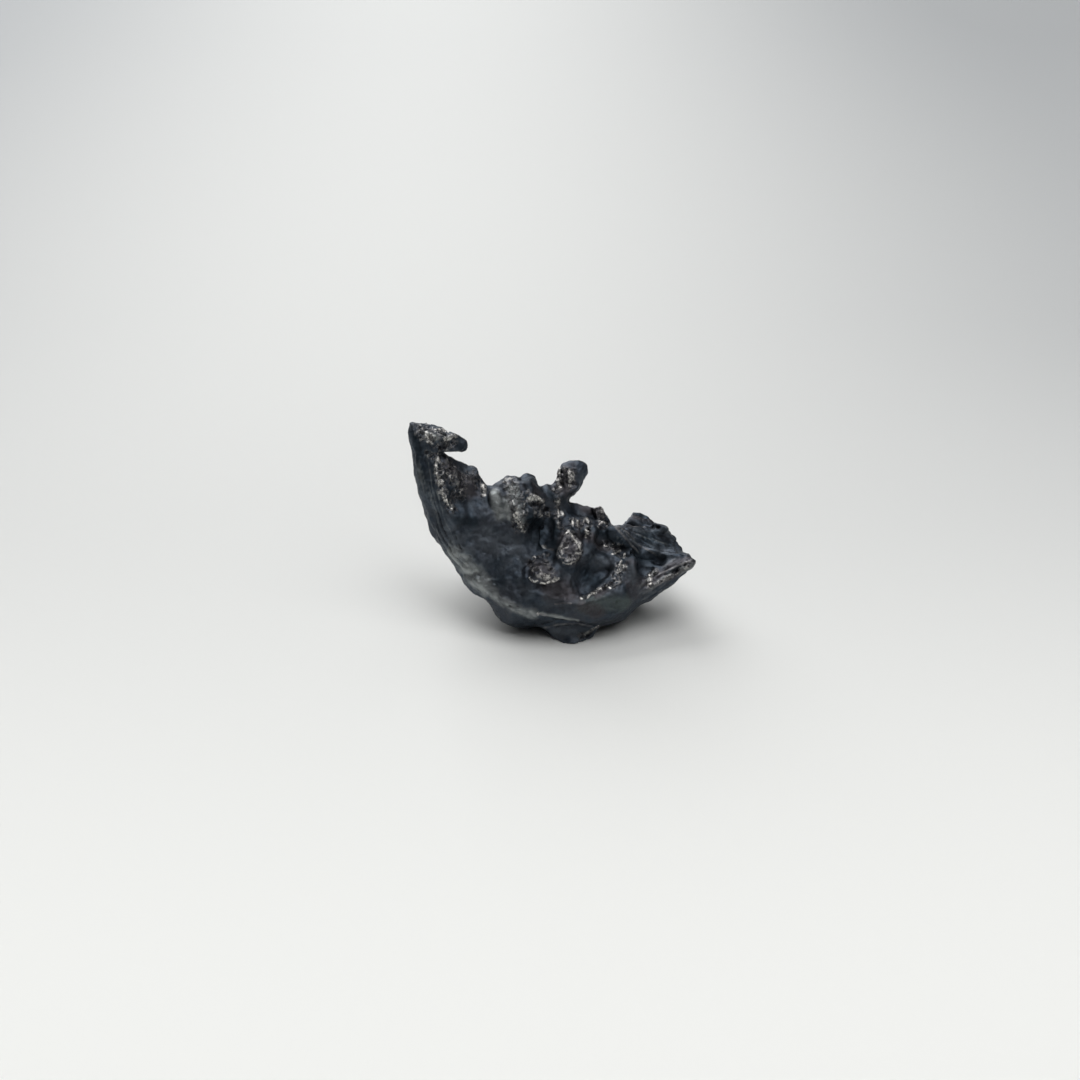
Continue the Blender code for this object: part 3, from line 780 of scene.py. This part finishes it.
# Strokes: marks, reach, rise in mm (a hollow where negative), profile. Broad ones come first.
BROAD_STROKES = [
    ([(-10.2, 23.0), (-9.6, 20.6), (-7.8, 19.2), (-6.2, 18.6)], 2.5, 0.9, "soft"),  # under the lobe
    ([(-10.1, 25.4), (-9.9, 23.4)], 0.9, 0.4, "soft"),
    ([(-1.6, 19.4), (-1.8, 17.2), (-1.2, 15.6)], 2.4, 1.3, "soft"),  # hollow right of it
    ([(13.8, 14.8), (15.6, 14.3), (17.4, 13.9)], 1.5, -1.0, "soft"),  # under the wing
    ([(16.8, 17.9), (18.8, 17.9)], 0.9, 0.5, "soft"),
    ([(7.8, 15.0), (9.6, 14.7)], 1.7, -0.8, "soft"),  # top of the bowl
    ([(-3.9, 12.4), (-4.1, 10.9), (-3.0, 9.8)], 0.9, 0.4, "soft"),  # left of the cluster
    ([(-9.5, 25.2), (-8.9, 24.8)], 0.7, 0.3, "soft"),  # folds of the lobe
    ([(-6.4, 25.7), (-6.6, 24.4)], 0.6, 0.3, "soft"),
    ([(-5.0, 25.4), (-4.7, 24.2), (-4.9, 23.2)], 0.6, 0.3, "soft"),
    ([(-6.2, 23.2), (-5.8, 22.2), (-5.2, 21.0), (-4.6, 19.6)], 0.6, 0.35, "soft"),
    ([(-4.1, 22.8), (-4.0, 21.8), (-4.6, 20.6)], 0.5, 0.3, "soft"),
    ([(-3.7, 23.6), (-3.4, 24.2), (-2.5, 24.2), (-1.4, 23.3)], 0.45, 0.5, "soft"),
    ([(-3.3, 22.9), (-2.2, 22.9), (-1.4, 22.6)], 0.6, -0.5, "soft"),
    ([(-2.5, 21.7)], 0.5, 0.3, "soft"),
    (
        [(10.8, 19.0), (12.2, 17.1), (14.4, 16.1), (16.4, 15.4), (18.6, 14.7), (20.7, 14.5)],
        0.8, 0.35, "soft",
    ),
    ([(13.2, 20.6), (16.0, 19.9)], 1.0, 0.4, "soft"),  # its knob
]
STROKES = [
    ([(-17.4, 34.1)], 0.5, -0.5, "scoop"),  # pit like an eye
    ([(-18.2, 34.2), (-17.3, 33.3), (-16.4, 33.9), (-17.2, 35.0)], 0.45, 0.1, "soft"),
    ([(-18.0, 28.4)], 0.5, -0.4, "scoop"),
    ([(-6.8, 6.4), (-5.2, 6.3)], 0.35, -0.45, "soft"),  # slit
    ([(-0.8, 21.9)], 0.5, -0.7, "scoop"),  # hole by the lobe
    # edge of the scale
    ([(2.4, 18.0), (3.0, 18.6), (3.8, 17.8), (4.6, 16.6), (4.7, 15.3)], 0.35, 0.4, "soft"),
    ([(2.5, 16.4), (3.2, 15.0)], 0.35, -0.25, "soft"),
    ([(4.0, 14.9), (4.6, 14.7)], 0.35, 0.3, "soft"),
    ([(-3.4, 10.9), (-2.6, 10.4), (-1.0, 10.2), (0.3, 10.5), (1.4, 10.9)], 0.35, 0.4, "soft"),
    ([(-10.9, 25.7), (-10.7, 24.3)], 0.5, 0.35, "soft"),
    ([(11.9, 19.8), (13.5, 19.7), (15.2, 19.6), (16.4, 19.3), (17.3, 19.1)], 0.5, -0.8, "soft"),
    ([(5.7, 7.9), (6.6, 8.5), (7.9, 9.2), (9.2, 9.9)], 0.4, 0.4, "soft"),
    ([(0.6, 6.6), (1.8, 6.8), (3.0, 6.8)], 0.3, 0.14, "soft"),
    ([(-1.6, 3.3), (0.6, 4.0), (3.4, 4.0), (6.0, 3.4)], 0.5, -0.25, "soft"),
    ([(-1.2, 2.8), (1.3, 3.4), (4.0, 3.5), (7.2, 3.1)], 0.4, 0.2, "soft"),  # upper edge of the foot
    ([(3.4, 20.4)], 0.6, 0.3, "soft"),
    ([(3.5, 19.2)], 0.5, 0.3, "soft"),
    ([(5.8, 20.4)], 0.6, 0.35, "soft"),
    ([(5.9, 18.2)], 0.6, 0.35, "soft"),
    ([(4.6, 21.0), (4.8, 18.6)], 0.45, -0.35, "soft"),
    ([(-1.1, 5.3), (1.4, 4.7), (4.7, 4.0), (6.9, 3.9)], 0.5, 0.16, "soft"),  # line over the foot
    # layers of the wedge
    ([(16.4, 11.9), (18.9, 12.7), (21.1, 13.4), (23.1, 13.7)], 0.6, 0.3, "crest"),
    ([(15.9, 9.4), (17.8, 10.5), (20.0, 11.8), (22.5, 13.1)], 0.6, 0.35, "crest"),
    ([(15.0, 7.6), (16.9, 8.8), (18.9, 9.9), (21.6, 11.9)], 0.5, 0.3, "crest"),
    ([(17.1, 11.0), (19.5, 11.9), (21.6, 12.9)], 0.4, -0.35, "soft"),
    ([(15.0, 7.5), (16.0, 8.2), (17.1, 8.6)], 0.4, -0.6, "soft"),
    ([(18.9, 11.0)], 0.4, -0.5, "soft"),
]

# Streaks: the outline that the horn's grain follows, the way the wedge's layers run, the point
# that the wing's streaks fan from, and where each lies.
GRAIN_LINE = [
    (-22.0, 32.4), (-21.2, 28.2), (-20.0, 23.3), (-18.4, 18.8), (-16.1, 14.6), (-12.9, 10.9),
    (-9.2, 7.0),
]
GRAIN_BAND = [([(-21.2, 31.0), (-20.0, 25.5), (-18.8, 21.4), (-16.9, 17.2), (-14.6, 13.6)], 1.9)]
STRATA_RUN = (0.79, 0.61)
STRATA_BAND = [
    ([(15.4, 8.8), (18.2, 11.0), (22.4, 13.3)], 1.9),
    ([(18.5, 13.0), (21.6, 13.8)], 0.9),
]
FAN_POINT = (10.6, 19.6)
FAN_BAND = [
    ([(12.0, 18.6), (15.0, 17.0), (17.5, 17.4)], 2.6),
    ([(11.6, 18.0), (13.6, 15.8)], 1.4),
]

TINTS_AND_LIGHT = {"pale": PALE_SHEEN, "browned": BROWNED, "deep": DEEP_SHADE, "steel": STEEL_LIGHT, "greenish": GREENISH_SHEEN}


# ---------------------------------------------------------------- the worked skin

STROKE_WAVER = 0.35  # unevenness of a stroke's edge, as a share of its reach
SCALE_EDGE = 0.15  # mm
TINT_AND_LIGHT_EDGE = (0.3, 0.2)  # how ragged it is, and the inner share of the reach
CALM_EDGE = (0.2, 0.4)

# The back begins between these "out" parts of the normal, for its torn patches and its dents.
TURNED_AWAY = (0.15, -0.35)
WELL_BEHIND = (-0.15, -0.65)
BEHIND_PATCH = 3.6  # mm, size of the torn patches
BEHIND_TORN = 0.75  # their strength beside the front's
FOLD_SIZE = (4.2, 5.6, 4.2)  # mm, of the dents
FOLD_RIDGE = 0.1  # mm
FOLD_DEPTH = 0.75  # mm below the ridges

# Torn metal, in mm.
TEAR_SIZE = 1.25
CREST_RISE = 0.16
CHIPS_PER_TEAR = 1.9
CHIP_RISE = 0.2
CHIP_TILT = 0.8
GROOVE_WIDTH = 0.12  # as a share of a chip
GROOVE_DEPTH = 0.08

CALMED = 0.6  # share of the torn relief lost at the calm places
CALM_BEHIND = 0.5  # and how much of that calm the back has
PITTING_RISE = 0.11  # mm, on all that is not torn
PITTING_SIZE = 0.9  # mm
PITTING_LOST = 0.6  # share of it lost where the metal is torn

# Streaks: rise, width and length in mm. The fan has streaks per radian in place of a width.
GRAIN_STREAK = (0.2, 0.5, 10.0)
LAYER_STREAK = (0.2, 0.7, 7.0)
FAN_STREAK = (0.16, 14.0, 6.0)
FULL_STREAK = 0.15  # mm of rise that colours a streak fully

BULGE_BLUR_ROUNDS = 6  # of blurring, against which the bulge is measured
FULL_BULGE = 0.12  # mm above the blurred skin


def sculpted():
    """The finely worked skin, with its masks stored as attributes."""
    noise.seed_set(NOISE_SEED)
    to_row = profile_to_row()
    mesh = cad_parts[NODE].data.copy()
    mesh.transform(to_row.inverted())
    skin = Skin(remeshed(mesh))
    behind = patches_behind(skin)
    masks = patch_masks(skin, behind)
    reshape(skin)
    dent_back(skin)
    for marks, reach, rise, profile in STROKES:
        skin.stroke(marks, reach, rise, profile, STROKE_WAVER)
    skin.settle()
    # The streaks' height, which the material paints with highlight where they stand up and shade
    # where they sink.
    masks["grain"] = add_relief(skin, masks["torn"], behind)
    # How far each point bulges out, which the material uses for painted glints on crests and
    # painted shade in hollows.
    masks["worn"] = bulge_of(skin)
    skin.meet()
    # Distances to the thin edges with painted glints and to the faint lines of painted highlight.
    masks["edge"] = nearest_path(skin, THIN_GLINT_EDGES)
    masks["faint"] = nearest_path(skin, FAINT_HIGHLIGHT_LINES)
    for name, values in masks.items():
        store(skin.mesh, name, values)
    skin.mesh.transform(to_row)
    lift_to_floor(skin.mesh)
    return skin.mesh


def patches_behind(skin):
    """Ragged torn patches on the sides that the marks don't reach."""
    away = smoothstep(skin.normals[:, 2], *TURNED_AWAY)
    return away * smoothstep(skin.noise(BEHIND_PATCH, 3, 11.0) + 0.3 * skin.wander, 0.2, 0.5)


def patch_masks(skin, behind):
    """Masks of the torn metal, of the bright metal with its painted glints, and of each tint and
    patch of painted light and shade.
    """
    torn = np.maximum(skin.zone(TORN), skin.zone(TORN_ABOVE, ray=falling_ray))
    masks = {"torn": np.maximum(torn, BEHIND_TORN * behind), "bright": skin.zone(BRIGHT_AND_GLINTS)}
    for name, marked in TINTS_AND_LIGHT.items():
        masks[name] = skin.zone(marked, *TINT_AND_LIGHT_EDGE)
    return masks


def reshape(skin):
    """The middling forms: the outline's corrections, rubbed places, flat breaks, raised scales."""
    for marks, reach, step in PUSHES:
        skin.push(marks, reach, step)
    for marks, reach, step in BENDS:
        skin.bend(marks, reach, step)
    for marks, reach, rise, profile in BROAD_STROKES:
        skin.stroke(marks, reach, rise, profile)
    for marks, reach, rounds in SOFTENED:
        skin.soften(marks, reach, rounds)
    skin.settle()
    for outline, edge, share, sink in FACETS:
        skin.facet(outline, edge, share, sink)
    skin.settle()
    for outline, rise in SCALES:
        skin.plateau(outline, rise, SCALE_EDGE)
    skin.settle()


def dent_back(skin):
    """Broad dents in the back, with sharp ridges between them."""
    rise = np.empty(len(skin.points))
    for i, p in enumerate(skin.points):
        q = Vector(p / FOLD_SIZE)
        q += 0.25 * noise.turbulence_vector(q, 2, False)
        gaps, _ = noise.voronoi(q)
        rise[i] = FOLD_RIDGE - FOLD_DEPTH * min(1.0, gaps[1] - gaps[0]) ** 0.7
    hidden = smoothstep(skin.normals[:, 2], *WELL_BEHIND)
    skin.points += (hidden * rise)[:, None] * skin.normals


def add_relief(skin, torn, behind):
    """Raises the torn metal, the pitting and the streaks, and returns a mask of the streaks."""
    calm = 1 - CALMED * np.maximum(skin.zone(CALM, *CALM_EDGE), CALM_BEHIND * behind)
    pitting = (1 - PITTING_LOST * torn) * PITTING_RISE * skin.noise(PITTING_SIZE, 5, 7.0)
    relief = torn * calm * torn_relief(skin.points) + pitting
    streaks = skin.zone(GRAIN_BAND) * grain_relief(skin)
    streaks += skin.zone(STRATA_BAND) * strata_relief(skin)
    streaks += skin.zone(FAN_BAND) * fan_relief(skin)
    skin.points += (relief + streaks)[:, None] * skin.normals
    skin.settle()
    return np.clip(streaks / FULL_STREAK, -1, 1)


def torn_relief(points):
    """Crests, pits and tilted chips of torn metal, in mm."""
    relief = np.empty(len(points))
    for i, p in enumerate(points):
        q = Vector(p) / TEAR_SIZE
        q += 0.3 * noise.turbulence_vector(q * 0.9, 2, False)
        crest = noise.ridged_multi_fractal(q, 1.0, 2.1, 3, 1.0, 1.6)
        q *= CHIPS_PER_TEAR
        gaps, seeds = noise.voronoi(q)
        chip = noise.cell(seeds[0] * 31.0) - 0.5  # its own height, and then its own tilt
        chip += CHIP_TILT * (q - seeds[0]) @ noise.cell_vector(seeds[0] * 17.0)
        groove = max(0.0, 1 - (gaps[1] - gaps[0]) / GROOVE_WIDTH)
        relief[i] = CREST_RISE * (crest - 1.0) + CHIP_RISE * chip - GROOVE_DEPTH * groove
    return relief


def streak_relief(rise, across, along, offset):
    """Streaks in mm, from places across and along them in streak widths and lengths."""
    return np.array(
        [
            rise * noise.fractal(Vector((a, b, offset)), 1.0, 2.0, 3)
            for a, b in zip(across, along)
        ]
    )


def grain_relief(skin):
    """Long scratches beside the horn's outline, in mm."""
    rise, width, length = GRAIN_STREAK
    gap = distance_to(skin.points, skin.touch(GRAIN_LINE))
    return streak_relief(rise, gap / width, skin.points[:, 1] / length, 0.0)


def strata_relief(skin):
    """Thin layers along the wedge, in mm."""
    rise, width, length = LAYER_STREAK
    run = np.array(STRATA_RUN)
    along = skin.points[:, :2] @ run
    across = skin.points[:, :2] @ (-run[1], run[0])
    return streak_relief(rise, across / width, along / length, 9.0)


def fan_relief(skin):
    """Streaks that fan across the top of the wing, in mm."""
    rise, per_radian, length = FAN_STREAK
    step = skin.points[:, :2] - FAN_POINT
    angle = np.arctan2(step[:, 1], step[:, 0])
    reach = np.hypot(step[:, 0], step[:, 1])
    return streak_relief(rise, angle * per_radian, reach / length, 5.0)


def bulge_of(skin):
    """How far each point stands above its neighbours, smoothed, from about -1 to 1."""
    blurred = skin.points
    for _ in range(BULGE_BLUR_ROUNDS):
        blurred = skin.neighbour_mean(blurred)
    height = ((skin.points - blurred) * skin.normals).sum(axis=1)
    return np.clip(skin.neighbour_mean(height) / FULL_BULGE, -1, 1)


def nearest_path(skin, paths):
    """Each point's distance in mm to the nearest of the paths of marks."""
    return np.min([skin.share(closely(marks), 1.0) for marks in paths], axis=0)


def lift_to_floor(mesh):
    """Flattens what relief has pushed below the floor."""
    points = vertex_array(mesh, "co")
    points[:, 2] = np.maximum(points[:, 2], 0.0)
    move_vertices(mesh, points)


def store(mesh, name, values):
    layer = mesh.attributes.new(name, "FLOAT", "POINT")
    layer.data.foreach_set("value", values.astype(np.float32))


# ---------------------------------------------------------------- materials


# The colour sockets of a Mix node.
MIX_A, MIX_B, MIX_RESULT = 6, 7, 2


class Shader:
    """Short names for building a node material. The size of a pattern is given per mm."""

    def __init__(self, name):
        self.material = bpy.data.materials.new(name)
        self.material.use_nodes = True
        self.tree = self.material.node_tree
        self.surface = self.tree.nodes["Principled BSDF"]
        self.position = self.tree.nodes.new("ShaderNodeTexCoord").outputs["Object"]

    def link(self, source, socket):
        """Feeds a socket from another one, or sets it to a value."""
        if hasattr(source, "links"):
            self.tree.links.new(source, socket)
        else:
            socket.default_value = source

    def attribute(self, name):
        node = self.tree.nodes.new("ShaderNodeAttribute")
        node.attribute_name = name
        return node.outputs["Fac"]

    def noise(self, per_mm, detail=4.0, roughness=0.6, distortion=0.0):
        node = self.tree.nodes.new("ShaderNodeTexNoise")
        node.inputs["Scale"].default_value = per_mm / MM
        node.inputs["Detail"].default_value = detail
        node.inputs["Roughness"].default_value = roughness
        node.inputs["Distortion"].default_value = distortion
        self.link(self.position, node.inputs["Vector"])
        return node.outputs["Fac"]

    def math(self, operation, a, b=0.0, clamp=False):
        node = self.tree.nodes.new("ShaderNodeMath")
        node.operation = operation
        node.use_clamp = clamp
        self.link(a, node.inputs[0])
        self.link(b, node.inputs[1])
        return node.outputs[0]

    def both(self, a, b):
        """Two masks at once."""
        return self.math("MULTIPLY", a, b)

    def ramp(self, factor, low, high, to_low=0.0, to_high=1.0):
        node = self.tree.nodes.new("ShaderNodeMapRange")
        node.interpolation_type = "SMOOTHSTEP"
        self.link(factor, node.inputs["Value"])
        for socket, value in zip(RANGE_SOCKETS, (low, high, to_low, to_high)):
            node.inputs[socket].default_value = value
        return node.outputs["Result"]

    def mix(self, factor, a, b):
        node = self.tree.nodes.new("ShaderNodeMix")
        node.data_type = "RGBA"
        self.link(factor, node.inputs["Factor"])
        for value, socket in ((a, node.inputs[MIX_A]), (b, node.inputs[MIX_B])):
            self.link((*value, 1) if isinstance(value, tuple) else value, socket)
        return node.outputs[MIX_RESULT]

    def vector(self, operation, *values):
        node = self.tree.nodes.new("ShaderNodeVectorMath")
        node.operation = operation
        for value, socket in zip(values, node.inputs):
            self.link(value, socket)
        return node.outputs["Vector"]

    def cells(self, per_mm, warp_mm, feature):
        """A pattern of uneven chips, its borders bent by up to that much."""
        warp = self.tree.nodes.new("ShaderNodeTexNoise")
        warp.inputs["Scale"].default_value = per_mm / MM
        self.link(self.position, warp.inputs["Vector"])
        bend = (warp_mm * MM,) * 3
        node = self.tree.nodes.new("ShaderNodeTexVoronoi")
        node.feature = feature
        node.inputs["Scale"].default_value = per_mm / MM
        bent = self.vector("MULTIPLY_ADD", warp.outputs["Color"], bend, self.position)
        self.link(bent, node.inputs["Vector"])
        return node.outputs

    def cracks(self, per_mm):
        """The distance to the nearest border between chips, as a share of their size."""
        return self.cells(per_mm, 0.7, "DISTANCE_TO_EDGE")["Distance"]

    def chips(self, per_mm, amount):
        """The normal, tilted differently over each small chip of the surface."""
        colour = self.cells(per_mm, 0.3, "F1")["Color"]
        scaled = self.vector("SCALE", self.vector("SUBTRACT", colour, (0.5, 0.5, 0.5)))
        self.link(amount, scaled.node.inputs["Scale"])
        geometry = self.tree.nodes.new("ShaderNodeNewGeometry")
        return self.vector("NORMALIZE", self.vector("ADD", geometry.outputs["Normal"], scaled))

    def bump(self, height, distance_mm, normal=None):
        node = self.tree.nodes.new("ShaderNodeBump")
        node.inputs["Distance"].default_value = distance_mm * MM
        self.link(height, node.inputs["Height"])
        if normal is not None:
            self.link(normal, node.inputs["Normal"])
        return node.outputs["Normal"]


def torn_iron():
    """Blue-black iron, browned where it tore, with bright metal and painted glints on its sharpest
    crests, and painted sheen, highlights and shade.
    """
    s = Shader("torn_iron")
    patches = s.noise(0.55, 4, 0.6, 0.4)
    grain = s.noise(2.2, 5, 0.65)
    glint = s.noise(2.4, 3, 0.6, 1.2)
    torn = s.attribute("torn")
    colour = tinted_and_lit(s, patches, grain)
    colour = lit_and_shaded_streaks(s, colour)
    colour = torn_open(s, colour, torn, grain, glint)
    colour = cracked(s, colour, torn)
    colour = glint_lines(s, colour, patches, glint)
    s.link(colour, s.surface.inputs["Base Color"])
    s.surface.inputs["Metallic"].default_value = 1.0
    dull = s.ramp(patches, 0.3, 0.7, 0.46, 0.58)
    rough = s.math("ADD", dull, s.ramp(grain, 0.35, 0.7, -0.06, 0.08))
    s.link(rough, s.surface.inputs["Roughness"])
    chipped = s.chips(2.2, s.ramp(torn, 0.0, 1.0, 0.16, 0.85))
    coarse = s.bump(s.both(grain, s.ramp(torn, 0.0, 1.0, 0.6, 1.0)), 0.15, chipped)
    s.link(s.bump(s.noise(6.0, 3, 0.6), 0.045, coarse), s.surface.inputs["Normal"])
    return s.material


def tinted_and_lit(s, patches, grain):
    """The whole skin's blue-black, clouded, with each tint and each patch of painted sheen, light
    and shade mottled by patches or grain.
    """
    colour = s.mix(s.ramp(patches, 0.35, 0.65), BLUE_BLACK, GUNMETAL)
    colour = s.mix(s.ramp(s.noise(0.18, 3, 0.55), 0.45, 0.65, 0, 0.4), colour, DUSK)
    for name, mottle, tint in (
        ("greenish", s.ramp(patches, 0.3, 0.6, 0.5, 1.0), GREEN_SHEEN),
        ("browned", s.ramp(grain, 0.2, 0.7, 0.5, 1.0), UMBER),
        ("steel", s.ramp(patches, 0.35, 0.62, 0.2, 1.0), LIT_STEEL_BLUE),
        ("pale", s.ramp(patches, 0.3, 0.6, 0.4, 1.0), SHEEN_GREY),
        ("deep", 0.75, SHADE_BLUE),
    ):
        colour = s.mix(s.both(s.attribute(name), mottle), colour, tint)
    return colour


def lit_and_shaded_streaks(s, colour):
    """Streaks, with painted highlight where they stand up and painted shade where they sink."""
    streak_height = s.attribute("grain")
    colour = s.mix(s.ramp(streak_height, 0.05, 0.8, 0, 0.35), colour, SHEEN_GREY)
    return s.mix(s.ramp(streak_height, -0.05, -0.8, 0, 0.7), colour, PIT_SHADE)


def torn_open(s, colour, torn, grain, glint):
    """Torn grey metal, with bright metal and painted glints on its crests and painted shade in its
    pits.
    """
    worn = s.attribute("worn")
    colour = s.mix(s.both(torn, s.ramp(grain, 0.45, 0.59, 0, 0.68)), colour, TORN_GREY_AND_HIGHLIGHT)
    # Bright metal with painted glints on the crests of the torn metal.
    crest = s.both(s.ramp(worn, 0.1, 0.8), s.ramp(s.noise(1.3, 3, 0.6), 0.45, 0.62))
    colour = s.mix(s.both(s.both(torn, crest), 0.45), colour, METAL_AND_GLINT)
    # Painted glints on the bright metal, where it stands out.
    shine = s.both(s.ramp(worn, -0.5, 0.4, 0.3, 1.0), s.ramp(glint, 0.46, 0.56, 0.12, 1.0))
    colour = s.mix(s.both(s.attribute("bright"), shine), colour, METAL_AND_GLINT)
    # Painted shade in the hollows.
    return s.mix(s.ramp(worn, -0.15, -0.9, 0, 0.6), colour, PIT_SHADE)


def cracked(s, colour, torn):
    """Borders between chips of the torn metal: painted shade in some places, painted highlights in
    others.
    """
    borders = s.cracks(1.0)
    gate = s.noise(0.9, 2, 0.5, 0.6)
    crack_shade = s.both(s.ramp(borders, 0.0, 0.1, 1.0, 0.0), s.ramp(gate, 0.56, 0.5, 0.0, 0.75))
    colour = s.mix(s.both(torn, crack_shade), colour, PIT_SHADE)
    crack_highlight = s.both(s.ramp(borders, 0.02, 0.08, 1.0, 0.0), s.ramp(gate, 0.58, 0.66, 0.0, 0.55))
    return s.mix(s.both(torn, crack_highlight), colour, METAL_AND_GLINT)


def glint_lines(s, colour, patches, glint):
    """Painted glints along thin edges and fainter lines of painted highlight, broken up by noise.
    Their widths are in mm.
    """
    thin_glint = s.ramp(s.attribute("edge"), 0.1, 0.24, 1.0, 0.0)
    colour = s.mix(s.both(thin_glint, s.ramp(glint, 0.42, 0.54, 0.1, 0.95)), colour, METAL_AND_GLINT)
    highlight_line = s.ramp(s.attribute("faint"), 0.08, 0.26, 1.0, 0.0)
    return s.mix(s.both(highlight_line, s.ramp(patches, 0.35, 0.6, 0.15, 0.75)), colour, TORN_GREY_AND_HIGHLIGHT)


# ---------------------------------------------------------------- the scene


def add_meteorite():
    mesh = sculpted()
    mesh.materials.clear()
    mesh.materials.append(torn_iron())
    mesh.shade_smooth()
    piece = bpy.data.objects.new("meteorite_skin", mesh)
    bpy.context.scene.collection.objects.link(piece)
    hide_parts(NODE)
    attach(piece, "root")


add_camera()
add_floor()
add_lights()
add_meteorite()
